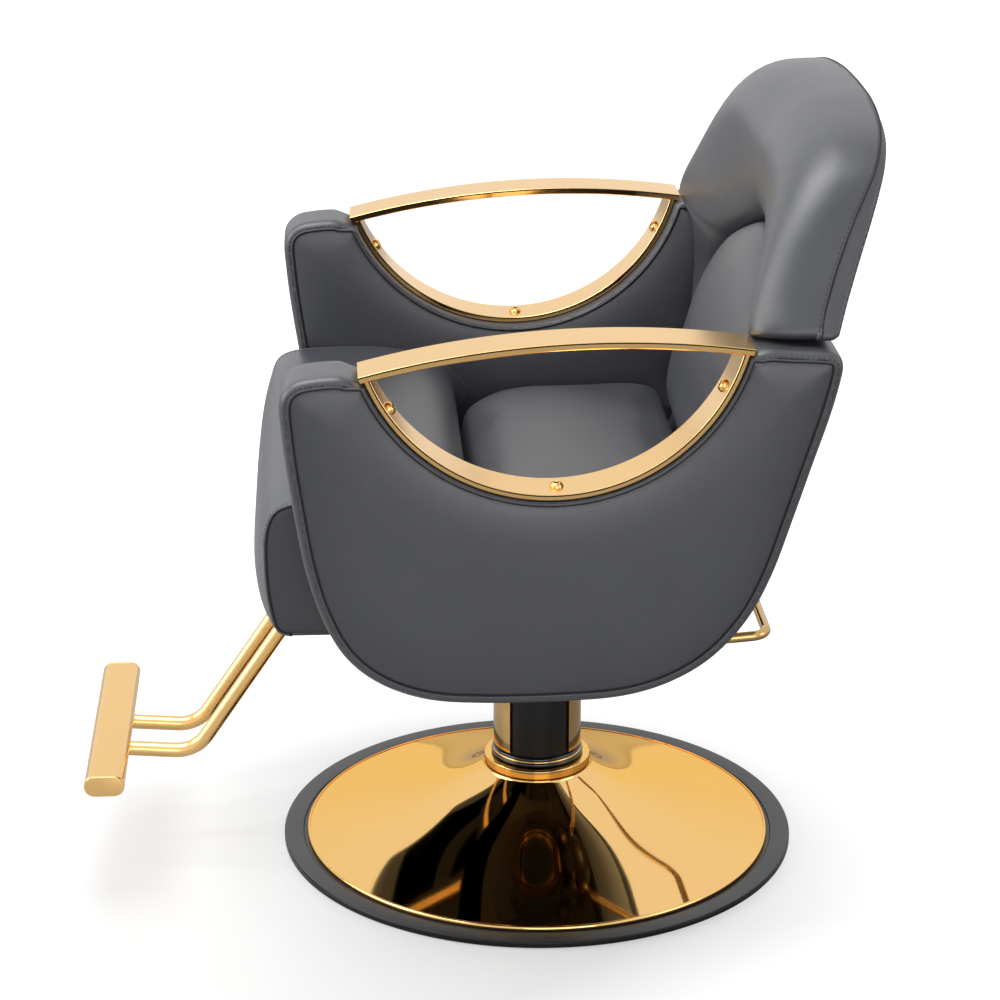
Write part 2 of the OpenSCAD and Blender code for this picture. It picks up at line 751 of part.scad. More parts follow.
// Share of the swell at each of those points
roll_swell_shares = [
    0, 0.45, 0.85, 1, 0.93, 0.68, 0.45, 0.25, 0.1, 0.1, 0.2, 0.35, 0.5, 0.55, 0.6, 0.6, 0.6, 0.5,
    0.3, 0.1, 0, 0,
];
roll_x_shares = [-1, -0.985, -0.94, -0.86, -0.7, -0.4, 0, 0.4, 0.7, 0.86, 0.94, 0.985, 1];
roll_line = [for (q = roll_shares) [-roll_front + q[0] * roll_depth, seat_z + q[1] * roll_h]];
roll_normal = normals(roll_line);
roll_power = 5;
function roll_ring(x_share) = let (swell = roll_crown * (1 - pow(abs(x_share), roll_power)))
    [for (i = [len(roll_line) - 1 : -1 : 0]) [
        x_share * roll_half_w,
        roll_line[i][0] - roll_normal[i][0] * swell * roll_swell_shares[i],
        roll_line[i][1] - roll_normal[i][1] * swell * roll_swell_shares[i],
    ]];

// Corners of the seat pad's plan: side, middle of the corner's arc ahead or behind, radius and start angle
pad_corners = [
    [1, pad_rear - pad_rear_corner, pad_rear_corner, 0],
    [-1, pad_rear - pad_rear_corner, pad_rear_corner, 90],
    [-1, pad_corner - pad_front, pad_corner, 180],
    [1, pad_corner - pad_front, pad_corner, 270],
];
pad_corner_steps = 8;
function pad_plan(gap) = [
    for (c = pad_corners, k = [0 : pad_corner_steps])
        let (a = c[3] + 90 * k / pad_corner_steps)
        [c[0] * (pad_half_w - c[2]) + (c[2] + gap) * cos(a), c[1] + (c[2] + gap) * sin(a)],
];
module front_roll() {
    color(leather) difference() {
        skin([for (s = roll_x_shares) roll_ring(s)]);
        translate([-seat_board_half - seat_gap, -seat_board_front - seat_gap, seat_z - over])
            cube([2 * seat_board_half + 2 * seat_gap, seat_board_front, seat_board_t + seat_gap + over]);
        translate([0, 0, seat_z + seat_board_t]) linear_extrude(roll_h) polygon(pad_plan(seat_gap));
    }
}

pad_mid_y = (pad_rear - pad_front) / 2;
// Each ring's share of the plan, and of the height of the sides, from the foot to the crown
pad_ring_shares = [0.9, 0.96, 0.99, 1, 0.985, 0.95, 0.88, 0.76, 0.58, 0.34, 0.1];
pad_rise_shares = [0, 0.12, 0.3, 0.6, 1];
pad_power = 2.4;
function pad_ring_z(i) = i < len(pad_rise_shares) ? pad_rise_shares[i] * pad_side_h
    : pad_side_h + pad_crown * sqrt(1 - pow(pad_ring_shares[i], pad_power));
module seat_pad() {
    color(leather) skin([
        for (i = [0 : len(pad_ring_shares) - 1])
            [for (q = pad_plan(0)) [
                q[0] * pad_ring_shares[i],
                pad_mid_y + (q[1] - pad_mid_y) * pad_ring_shares[i],
                seat_z + seat_board_t + seat_gap + pad_ring_z(i),
            ]],
    ]);
}

// Side panels
// Outline of a panel from the front of its scoop round to the rear, as shares of its depth and height
panel_shares = [
    [0.1208, 0.9388], [0.1053, 0.9453], [0.0677, 0.9425], [0.0320, 0.9326], [0.0094, 0.9073], [0, 0.8680],
    [0.0019, 0.8034], [0.0094, 0.6910], [0.0226, 0.5502], [0.0395, 0.4010], [0.0658, 0.2660],
    [0.1071, 0.1480], [0.1692, 0.0663], [0.2556, 0.0156], [0.3628, 0], [0.5038, 0], [0.6165, 0.0113],
    [0.7049, 0.0507], [0.7801, 0.1211], [0.8421, 0.2281], [0.8853, 0.3577], [0.9211, 0.5211],
    [0.9530, 0.6761], [0.9812, 0.8113], [0.9981, 0.9155], [1, 0.9577], [0.9887, 0.9831], [0.9624, 0.9915],
    [0.9080, 0.9960], [0.8700, 1], [0.8500, 0.9950],
];
function panel_point(q) = [-panel_front + q[0] * panel_depth, panel_low + q[1] * panel_h];
scoop_r = band_r + seat_gap;
scoop_steps = 22;
// Height of the scoop's two ends, below its centre
scoop_front_drop = 75;
scoop_rear_drop = 54;
scoop_front_a = 180 + asin(scoop_front_drop / scoop_r);
scoop_rear_a = 360 - asin(scoop_rear_drop / scoop_r);
panel_line = concat(
    smooth([for (q = panel_shares) panel_point(q)], 2),
    [for (i = [0 : scoop_steps]) let (a = scoop_rear_a + (scoop_front_a - scoop_rear_a) * i / scoop_steps)
        [-band_ahead + scoop_r * cos(a), band_z + scoop_r * sin(a)]]
);
panel_normal = normals(panel_line);
function panel_ring(x, inset) = [
    for (i = [0 : len(panel_line) - 1])
        [x, panel_line[i][0] - inset * panel_normal[i][0], panel_line[i][1] - inset * panel_normal[i][1]],
];
// Triangles over a panel's face: each point of the outer outline is tied to the scoop's point on its ray
panel_points = len(panel_line);
outer_points = panel_points - scoop_steps - 1;
function ray_a(q) = let (a = atan2(q[1] - band_z, q[0] + band_ahead)) a < 0 ? a + 360 : a;
function scoop_share(i) = (ray_a(panel_line[i]) - scoop_front_a) / (scoop_rear_a - scoop_front_a);
function scoop_step(i) = round(min(max(scoop_share(i), 0), 1) * scoop_steps);
function scoop_index(step) = panel_points - 1 - step;
panel_cap = [
    for (i = [0 : outer_points - 2]) let (now = scoop_step(i), next = max(scoop_step(i + 1), now)) each [
        [i, i + 1, scoop_index(now)],
        for (k = [now : 1 : next - 1]) [i + 1, scoop_index(k + 1), scoop_index(k)],
    ],
];
// Share of the edge radius at the middle of its quarter round
edge_share = 1 - sqrt(0.5);
side_board_mid = (panel_in + panel_out) / 2;
module side_board_plan(gap) {
    difference() {
        polygon([for (q = side_board_shares) panel_point(q)]);
        translate([-band_ahead, band_z]) circle(r = scoop_r + panel_edge + gap);
    }
}
side_board_shares = [
    [0.06, 0.84], [0.07, 0.60], [0.105, 0.36], [0.16, 0.19], [0.27, 0.09], [0.42, 0.06], [0.55, 0.06],
    [0.67, 0.105], [0.80, 0.215], [0.875, 0.38], [0.905, 0.50], [0.94, 0.69], [0.975, 0.88], [0.96, 0.93],
    [0.88, 0.94],
];
// Board and its pocket stand on yz plan and lie across x
module across_x(low, high) {
    translate([low, 0, 0]) rotate([90, 0, 90]) linear_extrude(high - low) children();
}
module side_panel() {
    r = panel_edge;
    e = r * edge_share;
    rings = [
        panel_ring(panel_in, r), panel_ring(panel_in + e, e), panel_ring(panel_in + r, 0),
        panel_ring(panel_out - r, 0), panel_ring(panel_out - e, e), panel_ring(panel_out, r),
    ];
    last = (len(rings) - 1) * panel_points;
    color(leather) difference() {
        polyhedron(
            points = [for (ring = rings) each ring],
            faces = concat(
                panel_cap,
                skin_faces(panel_points, len(rings)),
                [for (t = panel_cap) [last + t[2], last + t[1], last + t[0]]]
            )
        );
        across_x(side_board_mid - side_board_t / 2, side_board_mid + side_board_t / 2) side_board_plan(0);
        at_side_bolts()
            cylinder(h = side_board_mid + side_board_t / 2 - rail_out + tube_s, r = m8_r + bolt_gap);
        at_arm_screws() cylinder(h = arm_screw_l, r = m5_r + bolt_gap);
        at_back_studs() cylinder(h = side_board_mid, r = m8_r + bolt_gap);
    }
}
module side_board() {
    color(ply) difference() {
        across_x(side_board_mid - side_board_t / 2 + seat_gap, side_board_mid + side_board_t / 2 - seat_gap)
            side_board_plan(seat_gap);
        at_side_bolts() cylinder(h = panel_t + tube_s, r = m8_r + bolt_gap);
        at_arm_screws() cylinder(h = arm_screw_l, r = m5_r + bolt_gap);
        at_back_studs() cylinder(h = panel_out, r = m8_r + bolt_gap);
    }
}
module side_bolts() {
    color(steel) at_side_bolts()
        hex_bolt(m8_r, side_board_mid + side_board_t / 2 - rail_out + tube_s - over, m8_head_r, m8_head_h);
}

// Armrests
arm_in = arm_x - arm_w / 2;
arm_out = arm_x + arm_w / 2;
band_in_r = band_r - band_t;
arch_z = arch_top - arch_r;
arm_screw_l = 30;
arm_screw_head_h = 3.2;
arm_screw_angles = [214, 271.5, 332];
module at_arm_screws() {
    for (a = arm_screw_angles) translate([arm_x, -band_ahead, band_z]) rotate([a - 90, 0, 0])
        translate([0, 0, band_in_r]) children();
}
module band_disc(r) {
    translate([-band_ahead, band_z]) circle(r = r, $fn = 2 * $fn);
}
module arch_disc(r) {
    translate([arch_y, arch_z]) circle(r = r, $fn = 6 * $fn);
}
module arm_bar() {
    color(gold) across_x(arm_in, arm_out) intersection() {
        difference() {
            arch_disc(arch_r);
            arch_disc(arch_r - arm_bar_t);
        }
        band_disc(band_r + bar_tip);
    }
}
module arm_band() {
    color(gold) difference() {
        across_x(arm_in, arm_out) intersection() {
            difference() {
                band_disc(band_r);
                band_disc(band_in_r);
            }
            arch_disc(arch_r - arm_bar_t);
        }
        at_arm_screws() translate([0, 0, -over]) cylinder(h = band_t + 2 * over, r = m5_r + bolt_gap);
    }
}
// Gap at the middle of a flat screw head whose edge meets the curved band
arm_screw_lift = band_in_r - sqrt(pow(band_in_r, 2) - pow(arm_screw_head, 2)) + seat_gap / 3;
module arm_screws() {
    socket_r = arm_screw_head / 2;
    half_head = arm_screw_head_h / 2;
    color(gold) at_arm_screws() difference() {
        union() {
            cylinder(h = arm_screw_l - over, r = m5_r);
            translate([0, 0, -half_head]) cylinder(h = half_head - arm_screw_lift, r = arm_screw_head);
            translate([0, 0, -arm_screw_head_h])
                cylinder(h = half_head, r1 = arm_screw_head - half_head, r2 = arm_screw_head);
        }
        translate([0, 0, -arm_screw_head_h - over]) cylinder(h = half_head + over, r = socket_r, $fn = 6);
    }
}

// Back
// Place on the back's rear face at a length along its slope from the knee
function back_y(s) = knee_y + s * sin(s < 0 ? lean_low : lean_top);
function back_z(s) = knee_z + s * cos(s < 0 ? lean_low : lean_top);
function on_back(q, t) = [q[0], back_y(q[1]) - t, back_z(q[1])];
// Height of the overhang's foot above the knee, clear of the panels
foot_rise = 3.4;
// Gap between the back and the panels
tail_gap = 0.7;
tail_half_w = panel_in - tail_gap;
// Upper outline of the back board, from the overhang's foot to the top, as shares of half width and height
board_shares = [
    [0.93, 0.030], [0.985, 0.040], [1, 0.075], [0.970, 0.150], [0.937, 0.238], [0.897, 0.370], [0.850, 0.550],
    [0.805, 0.690], [0.745, 0.810], [0.640, 0.905], [0.480, 0.960], [0.250, 0.992], [0, 1],
];
board_half = smooth([for (q = board_shares) [q[0] * back_half_w, q[1] * back_h]], 2);
// Slope lengths to heights, for a plan seen from the front
board_front_view = [
    [-tail_half_w, back_z(-board_drop)],
    [-tail_half_w, back_z(foot_rise)],
    for (q = mirrored(reversed(board_half))) [q[0], back_z(q[1])],
    for (q = reversed(board_half)) [q[0], back_z(q[1])],
    [tail_half_w, back_z(foot_rise)],
    [tail_half_w, back_z(-board_drop)],
];
module back_board() {
    color(leather) difference() {
        intersection() {
            across_x(-back_half_w - over, back_half_w + over) polygon([
                [back_y(-board_drop) - back_t, back_z(-board_drop)],
                [back_y(-board_drop), back_z(-board_drop)],
                [back_y(0), back_z(0)],
                [back_y(back_h), back_z(back_h)],
                [back_y(back_h) - back_t, back_z(back_h)],
                [back_y(0) - back_t, back_z(0)],
            ]);
            translate([0, back_y(back_h) + over, 0]) rotate([90, 0, 0])
                linear_extrude(2 * back_y(back_h)) polygon(board_front_view);
        }
        both_sides() at_back_studs() translate([0, 0, tail_half_w - stud_reach - seat_gap])
            cylinder(h = stud_reach + over + seat_gap, r = m8_r + seat_gap);
    }
}

// Inner and outer edges of the arched pad, from the tip of its tail to the middle of the top, as shares of
// half width and of height above the knee
arch_in_shares = [
    [0.711, -0.65], [0.695, -0.558], [0.682, -0.451], [0.65, -0.34], [0.593, -0.228], [0.538, -0.146],
    [0.487, -0.077], [0.442, -0.029], [0.391, 0.015], [0.334, 0.063], [0.288, 0.097], [0.231, 0.136],
    [0.173, 0.17], [0.122, 0.199], [0.077, 0.216], [0.039, 0.226], [0, 0.228],
];
arch_out_shares = [
    [0.763, -0.65], [0.812, -0.574], [0.818, -0.388], [0.818, -0.194], [0.818, -0.029], [0.833, 0.024],
    [0.92, 0.027], [0.985, 0.055], [0.972, 0.14], [0.937, 0.238], [0.9, 0.36], [0.85, 0.545], [0.79, 0.725],
    [0.67, 0.885], [0.48, 0.955], [0.25, 0.987], [0, 0.995],
];
// Share of the greatest thickness along the pad
arch_rise_shares = [
    0.20, 0.25, 0.34, 0.47, 0.65, 0.77, 0.84, 0.92, 0.97, 1, 1, 1, 1, 0.99, 0.97, 0.96, 0.95,
];
// Place of the crest along the pad, between its inner and outer edges
arch_crest_shares = [
    0.85, 0.85, 0.85, 0.85, 0.85, 0.85, 0.85, 0.85, 0.85, 0.84, 0.82, 0.78, 0.73, 0.68, 0.64, 0.61, 0.6,
];
arch_steps = 2;
arch_in_half = smooth([for (q = arch_in_shares) [q[0] * back_half_w, q[1] * back_h]], arch_steps);
arch_out_half = smooth([for (q = arch_out_shares) [q[0] * back_half_w, q[1] * back_h]], arch_steps);
function whole(half) = concat(half, [for (i = [len(half) - 2 : -1 : 0]) [-half[i][0], half[i][1]]]);
arch_in = whole(arch_in_half);
arch_out = whole(arch_out_half);
function even(half) = concat(half, [for (i = [len(half) - 2 : -1 : 0]) half[i]]);
arch_rise = even(smooth(arch_rise_shares, arch_steps));
arch_crest = even(smooth(arch_crest_shares, arch_steps));
// Steps across the pad from its inner edge to its outer edge
arch_across_shares = [0, 0.03, 0.1, 0.22, 0.4, 0.62, 0.8, 0.88, 0.94, 0.98, 1];
arch_slope_power = 0.55;
arch_edge_power = 3;
// Share of the thickness at a place across the pad: a long slope up to the crest, then a rounded edge
function arch_section(q, crest) = q < crest ? pow(q / crest, arch_slope_power)
    : pow(1 - pow((q - crest) / (1 - crest), arch_edge_power), 1 / arch_edge_power);
function arch_ring(i) = concat(
    [for (q = arch_across_shares) on_back(
        arch_in[i] + q * (arch_out[i] - arch_in[i]),
        back_t + seat_gap + arch_pad_t * arch_rise[i] * arch_section(q, arch_crest[i])
    )]
);
module arch_pad() {
    color(leather) skin([for (i = [0 : len(arch_in) - 1]) arch_ring(i)]);
}

// Half outline of the lumbar cushion from the middle of its foot round to the top
lumbar_shares = [
    [0, -1.093], [0.4, -1.084], [0.72, -1.069], [0.87, -1.039], [0.95, -0.981], [0.985, -0.883],
    [0.995, -0.784], [0.975, -0.711], [0.915, -0.686], [0.87, -0.647], [0.853, -0.559], [0.838, -0.453],
    [0.798, -0.343], [0.726, -0.232], [0.658, -0.151], [0.594, -0.082], [0.475, 0.01], [0.35, 0.086],
    [0.21, 0.155], [0.093, 0.202], [0, 0.216],
];
lumbar_half = [for (q = lumbar_shares) [q[0] * lumbar_half_w, q[1] * back_h]];
lumbar_line = concat(
    lumbar_half,
    [for (i = [len(lumbar_half) - 2 : -1 : 1]) [-lumbar_half[i][0], lumbar_half[i][1]]]
);
lumbar_mid_share = -0.5;
lumbar_mid = [0, lumbar_mid_share * back_h];
lumbar_power = 2.6;
lumbar_edge_power = 2.2;
lumbar_ring_shares = [1, 1, 0.98, 0.94, 0.87, 0.76, 0.6, 0.4, 0.18];
lumbar_rear = back_t + seat_gap;
function lumbar_t(i) = i == 0 ? lumbar_rear
    : i == 1 ? lumbar_rear + lumbar_edge
    : lumbar_rear + lumbar_edge
        + lumbar_crown * pow(1 - pow(lumbar_ring_shares[i], lumbar_power), 1 / lumbar_edge_power);
module lumbar_cushion() {
    color(leather) bent_skin([
        for (i = [0 : len(lumbar_ring_shares) - 1])
            [for (q = lumbar_line)
                on_back(lumbar_mid + lumbar_ring_shares[i] * (q - lumbar_mid), lumbar_t(i))],
    ]);
}

// Studs that join the back board's edges to the boards in the side panels
stud_shares = [-0.19, -0.49, -0.78];
stud_reach = 30;
module at_back_studs() {
    for (q = stud_shares) let (s = q * board_drop)
        translate([0, back_y(s) - back_t / 2, back_z(s)]) rotate([0, 90, 0]) children();
}
module back_studs() {
    color(steel) both_sides() at_back_studs() translate([0, 0, tail_half_w - stud_reach])
        cylinder(h = side_board_mid + stud_l_share * side_board_t - tail_half_w + stud_reach, r = m8_r);
}
// Share of the side board's thickness that a stud passes its middle
stud_l_share = 0.35;

// Lower rear cover between the panels, just inside their rear edges
rear_cover_t = 8;
rear_cover_in = 7;
rear_shares = [
    [0.7200, 0.0620], [0.7801, 0.1211], [0.8421, 0.2281], [0.8620, 0.3000],
];
rear_line = smooth([for (q = rear_shares) panel_point(q)], 3);
module rear_panel() {
    n = len(rear_line);
    color(leather) across_x(-tail_half_w, tail_half_w) polygon(concat(
        [for (i = [0 : n - 1]) rear_offset(i, rear_cover_in)],
        [for (i = [n - 1 : -1 : 0]) rear_offset(i, rear_cover_in + rear_cover_t)]
    ));
}
function rear_offset(i, d) = let (
    n = len(rear_line),
    v = unit(rear_line[min(i + 1, n - 1)] - rear_line[max(i - 1, 0)])
) rear_line[i] + d * [-v[1], v[0]];

// Footrest
foot_y = -foot_bar_ahead;
rod_top_z = frame_low - foot_plate_t - rod_r;
module oval(grow) {
    c = (foot_bar_w - foot_bar_h) / 2;
    r = foot_bar_h / 2 + grow;
    for (y = [foot_y - c, foot_y + c]) translate([y, foot_bar_z]) circle(r = r);
    translate([foot_y - c, foot_bar_z - r]) square([2 * c, 2 * r]);
}
module footrest_bar() {
    color(gold) difference() {
        across_x(-foot_bar_l / 2, foot_bar_l / 2) oval(0);
        across_x(-foot_bar_l / 2 - over, foot_bar_l / 2 + over) oval(-foot_bar_wall);
    }
}
module footrest_caps() {
    color(gold) both_sides() {
        across_x(foot_bar_l / 2, foot_bar_l / 2 + foot_cap_t) oval(0);
        across_x(foot_bar_l / 2 - 2 * foot_cap_t, foot_bar_l / 2) oval(-foot_bar_wall - seat_gap);
    }
}
module footrest_rods() {
    corners = [
        [rod_half, foot_y + foot_bar_w / 4, rod_bar_z],
        [rod_half, -rod_low_ahead, rod_low_z],
        [rod_half, -rod_top_ahead, rod_top_z],
        [rod_half, foot_plate_d / 2 - rail_front + tube_s / 2, rod_top_z],
    ];
    color(gold) difference() {
        both_sides() bent_rod(bent_path(corners, rod_bend), rod_r);
        across_x(-foot_bar_l / 2, foot_bar_l / 2) oval(0);
    }
}
module footrest_plate() {
    color(dark) difference() {
        translate([-foot_plate_w / 2, tube_s / 2 - rail_front - foot_plate_d / 2, frame_low - foot_plate_t])
            cube([foot_plate_w, foot_plate_d, foot_plate_t]);
        at_foot_bolts() translate([0, 0, frame_low - foot_plate_t - over])
            cylinder(h = foot_plate_t + 2 * over, r = m8_r + bolt_gap);
    }
}
module footrest_bolts() {
    color(steel) at_foot_bolts() translate([0, 0, frame_low - foot_plate_t])
        hex_bolt(m8_r, foot_plate_t + tube_s, m8_head_r, m8_head_h);
}

module right_hand() {
    mirror([1, 0, 0]) children();
}

foot_ring();
base_plate();
base_cover();
collar_ring();
dust_seal();
seal_trim();
barrel();
barrel_bolts();
gland_bush();
ram();
piston();
bearing_ring();
pump_head();
head_bolts();
pump_sleeve();
sleeve_screws();
pedal_pin();
plunger_spring();
top_plate();
plate_bolts();
side_rails();
cross_rails();
seat_board();
front_roll();
seat_pad();
side_panel();  // side_panel_left
right_hand() side_panel();  // side_panel_right
side_board();  // side_board_left
right_hand() side_board();  // side_board_right
side_bolts();  // side_bolts_left
right_hand() side_bolts();  // side_bolts_right
arm_bar();  // arm_bar_left
right_hand() arm_bar();  // arm_bar_right
arm_band();  // arm_band_left
right_hand() arm_band();  // arm_band_right
arm_screws();  // arm_screws_left
right_hand() arm_screws();  // arm_screws_right
back_board();
arch_pad();
lumbar_cushion();
back_studs();
rear_panel();
footrest_rods();
footrest_bar();
footrest_caps();
footrest_plate();
footrest_bolts();
pedal();
plunger();
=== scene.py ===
"""Dresses the packed hairdressing chair in leather, gold and stitching, and sets up its white studio."""

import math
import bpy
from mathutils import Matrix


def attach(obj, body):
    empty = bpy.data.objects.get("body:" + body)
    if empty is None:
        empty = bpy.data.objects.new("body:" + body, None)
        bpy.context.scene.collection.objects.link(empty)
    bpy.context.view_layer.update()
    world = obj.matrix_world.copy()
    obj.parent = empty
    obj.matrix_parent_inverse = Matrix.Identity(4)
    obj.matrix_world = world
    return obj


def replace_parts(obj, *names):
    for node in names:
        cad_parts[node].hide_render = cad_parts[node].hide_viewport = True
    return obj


bl_info = {
    "name": "Salon Chair",
    "version": (1, 0, 0),
    "blender": (4, 5, 0),
    "location": "View3D > Sidebar > Salon Chair",
    "description": "Builds the upholstery, trim and studio of a hairdressing chair round its solid model",
    "category": "Object",
}

import bmesh
import bpy
import numpy as np
from bpy.props import FloatProperty, FloatVectorProperty, PointerProperty
from mathutils import Vector
from mathutils.geometry import delaunay_2d_cdt

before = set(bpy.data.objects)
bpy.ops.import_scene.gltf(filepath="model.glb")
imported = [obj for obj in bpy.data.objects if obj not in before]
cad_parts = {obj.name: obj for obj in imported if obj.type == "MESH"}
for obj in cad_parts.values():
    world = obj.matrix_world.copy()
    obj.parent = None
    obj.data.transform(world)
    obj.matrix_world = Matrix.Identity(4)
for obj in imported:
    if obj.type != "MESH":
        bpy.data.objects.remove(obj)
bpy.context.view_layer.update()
MM = 0.001


# Lines and outlines, in millimetres

def curve_through(points, steps, closed=False):
    """Points on a smooth curve through the given ones."""
    p = np.asarray(points, float)
    n = len(p)
    out = []
    for i in range(n if closed else n - 1):
        a, b, c, d = (p[(i + k) % n] if closed else p[min(max(i + k, 0), n - 1)] for k in (-1, 0, 1, 2))
        for k in range(steps):
            t = k / steps
            bend = t * t * (2 * a - 5 * b + 4 * c - d) + t**3 * (3 * b - a - 3 * c + d)
            out.append((2 * b + t * (c - a) + bend) / 2)
    if not closed:
        out.append(p[-1])
    return np.array(out)


def evenly(points, step, closed=False):
    """Points at even steps along a line."""
    p = np.asarray(points, float)
    if closed:
        p = np.vstack([p, p[:1]])
    s = np.concatenate([[0], np.cumsum(np.linalg.norm(np.diff(p, axis=0), axis=1))])
    at = np.linspace(0, s[-1], max(int(round(s[-1] / step)), 2) + 1)
    if closed:
        at = at[:-1]
    return np.stack([np.interp(at, s, p[:, k]) for k in range(p.shape[1])], axis=1)


def nearest(points, line, closed=False):
    """Distance of each point to a line, and the nearest place on it."""
    p = np.asarray(points, float)
    a = np.asarray(line, float)
    b = np.roll(a, -1, axis=0) if closed else a[1:]
    a = a if closed else a[:-1]
    ab = b - a
    best, where = np.full(len(p), np.inf), np.zeros_like(p)
    batch = 400
    for lo in range(0, len(p), batch):
        q = p[lo:lo + batch]
        t = ((q[:, None] - a[None]) * ab[None]).sum(2) / np.maximum((ab * ab).sum(1), 1e-12)[None]
        foot = a[None] + np.clip(t, 0, 1)[..., None] * ab[None]
        d = np.linalg.norm(q[:, None] - foot, axis=2)
        k = d.argmin(1)
        rows = np.arange(len(q))
        best[lo:lo + batch], where[lo:lo + batch] = d[rows, k], foot[rows, k]
    return best, where


def outward(line, closed=True):
    """Outward normals of a counter-clockwise outline in its plane."""
    p = np.asarray(line, float)
    if closed:
        d = np.roll(p, -1, axis=0) - np.roll(p, 1, axis=0)
    else:
        d = np.gradient(p, axis=0)
    d /= np.maximum(np.linalg.norm(d, axis=1), 1e-9)[:, None]
    return np.stack([d[:, 1], -d[:, 0]], axis=1)


def inside(points, line):
    """Which points lie inside a closed outline."""
    p, a = np.asarray(points, float), np.asarray(line, float)
    b = np.roll(a, -1, axis=0)
    hit = (a[None, :, 1] > p[:, None, 1]) != (b[None, :, 1] > p[:, None, 1])
    rise = b[:, 1] - a[:, 1]
    rise = np.where(np.abs(rise) < 1e-12, 1e-12, rise)
    cross = a[None, :, 0] + (p[:, None, 1] - a[None, :, 1]) * ((b - a)[:, 0] / rise)[None]
    return (hit & (p[:, None, 0] < cross)).sum(1) % 2 == 1


def arc(centre, radius, start, end, count):
    """Points on an arc, with its angles in degrees."""
    a = np.radians(np.linspace(start, end, count))
    return np.stack([centre[0] + radius * np.cos(a), centre[1] + radius * np.sin(a)], axis=1)


def both_halves(half):
    """A line over the back from one foot to the other, from the half that ends in the middle plane."""
    flip = [-1, 1] if half.ndim == 2 else 1
    return np.concatenate([half, half[-2::-1] * flip])


def smoothed(values, times):
    """The values evened out along their row, its ends left as they are."""
    made = values.copy()
    for _ in range(times):
        made[1:-1] = (made[:-2] + 2 * made[1:-1] + made[2:]) / 4
    return made


# Meshes

def piece(name, verts, faces, finish, body, slot, sharp=None, seconds=(), thirds=()):
    """A new object of the chair from points in millimetres. `seconds` and `thirds` list the faces that take
    the second and third finish."""
    mesh = bpy.data.meshes.new(name)
    mesh.from_pydata((np.asarray(verts, float) * MM).tolist(), [], [list(map(int, f)) for f in faces])
    for material in finish if isinstance(finish, list) else [finish]:
        mesh.materials.append(material)
    for index, some in ((1, seconds), (2, thirds)):
        for f in some:
            mesh.polygons[f].material_index = index
    bm = bmesh.new()
    bm.from_mesh(mesh)
    bmesh.ops.recalc_face_normals(bm, faces=bm.faces)
    bm.to_mesh(mesh)
    bm.free()
    mesh.shade_smooth()
    if sharp:
        mesh.set_sharp_from_angle(angle=math.radians(sharp))
    made = bpy.data.objects.new(name, mesh)
    bpy.context.scene.collection.objects.link(made)
    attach(made, body)
    return made


def lofted(rings, caps=True):
    """Points and faces through closed rings of equal count."""
    rings = [np.asarray(r, float) for r in rings]
    n = len(rings[0])
    faces = []
    for r in range(len(rings) - 1):
        for i in range(n):
            j = (i + 1) % n
            faces.append((r * n + i, r * n + j, (r + 1) * n + j, (r + 1) * n + i))
    if caps:
        faces.append(tuple(range(n))[::-1])
        faces.append(tuple((len(rings) - 1) * n + i for i in range(n)))
    return np.vstack(rings), faces


def turned(profile, segments=192, closed=True):
    """Points and faces of a profile of (radius, height) turned about the upright axis."""
    p = np.asarray(profile, float)
    a = np.linspace(0, 2 * math.pi, segments, endpoint=False)
    rings = [np.stack([r * np.cos(a), r * np.sin(a), np.full(segments, z)], axis=1) for r, z in p]
    verts = np.vstack(rings)
    faces = []
    count = len(p)
    for k in range(count if closed else count - 1):
        m = (k + 1) % count
        for i in range(segments):
            j = (i + 1) % segments
            faces.append((k * segments + i, k * segments + j, m * segments + j, m * segments + i))
    return verts, faces


def rounded(corners, radius, steps=5):
    """A closed profile with its corners rounded. Each corner may carry a radius of its own."""
    out = []
    n = len(corners)
    for i in range(n):
        p = np.array(corners[i][:2], float)
        r = corners[i][2] if len(corners[i]) > 2 else radius
        a = np.array(corners[i - 1][:2], float) - p
        b = np.array(corners[(i + 1) % n][:2], float) - p
        la, lb = np.linalg.norm(a), np.linalg.norm(b)
        most = 2.05
        reach = min(r, la / most, lb / most)
        if reach < 1e-6:
            out.append(p)
            continue
        p0, p1 = p + a / la * reach, p + b / lb * reach
        for k in range(steps + 1):
            t = k / steps
            out.append((1 - t) ** 2 * p0 + 2 * t * (1 - t) * p + t * t * p1)
    return np.array(out)


def sides_on(path, closed=False):
    """Side and up directions along a path, without twist."""
    p = np.asarray(path, float)
    t = np.roll(p, -1, axis=0) - np.roll(p, 1, axis=0) if closed else np.gradient(p, axis=0)
    t /= np.maximum(np.linalg.norm(t, axis=1), 1e-12)[:, None]
    u = np.zeros_like(t)
    upright = np.array([0, 0, 1.0])
    first = np.array([1.0, 0, 0]) if abs(t[0] @ upright) > 0.9 else upright
    for i in range(len(p)):
        ref = u[i - 1] if i else first
        v = ref - (ref @ t[i]) * t[i]
        u[i] = v / max(np.linalg.norm(v), 1e-12)
    return u, np.cross(t, u)


def tube(path, radius, sides=12, closed=False):
    """Points and faces of a round tube along a path."""
    p = np.asarray(path, float)
    u, v = sides_on(p, closed)
    a = np.linspace(0, 2 * math.pi, sides, endpoint=False)[:, None]
    rings = [p[i] + radius * (np.cos(a) * u[i] + np.sin(a) * v[i]) for i in range(len(p))]
    verts, faces = lofted(rings, not closed)
    if closed:
        n, last = sides, (len(rings) - 1) * sides
        turn = int(round(math.atan2(u[0] @ v[-1], u[0] @ u[-1]) / (2 * math.pi) * sides))
        for i in range(n):
            faces.append((last + i, last + (i + 1) % n, (i + 1 - turn) % n, (i - turn) % n))
    return verts, faces


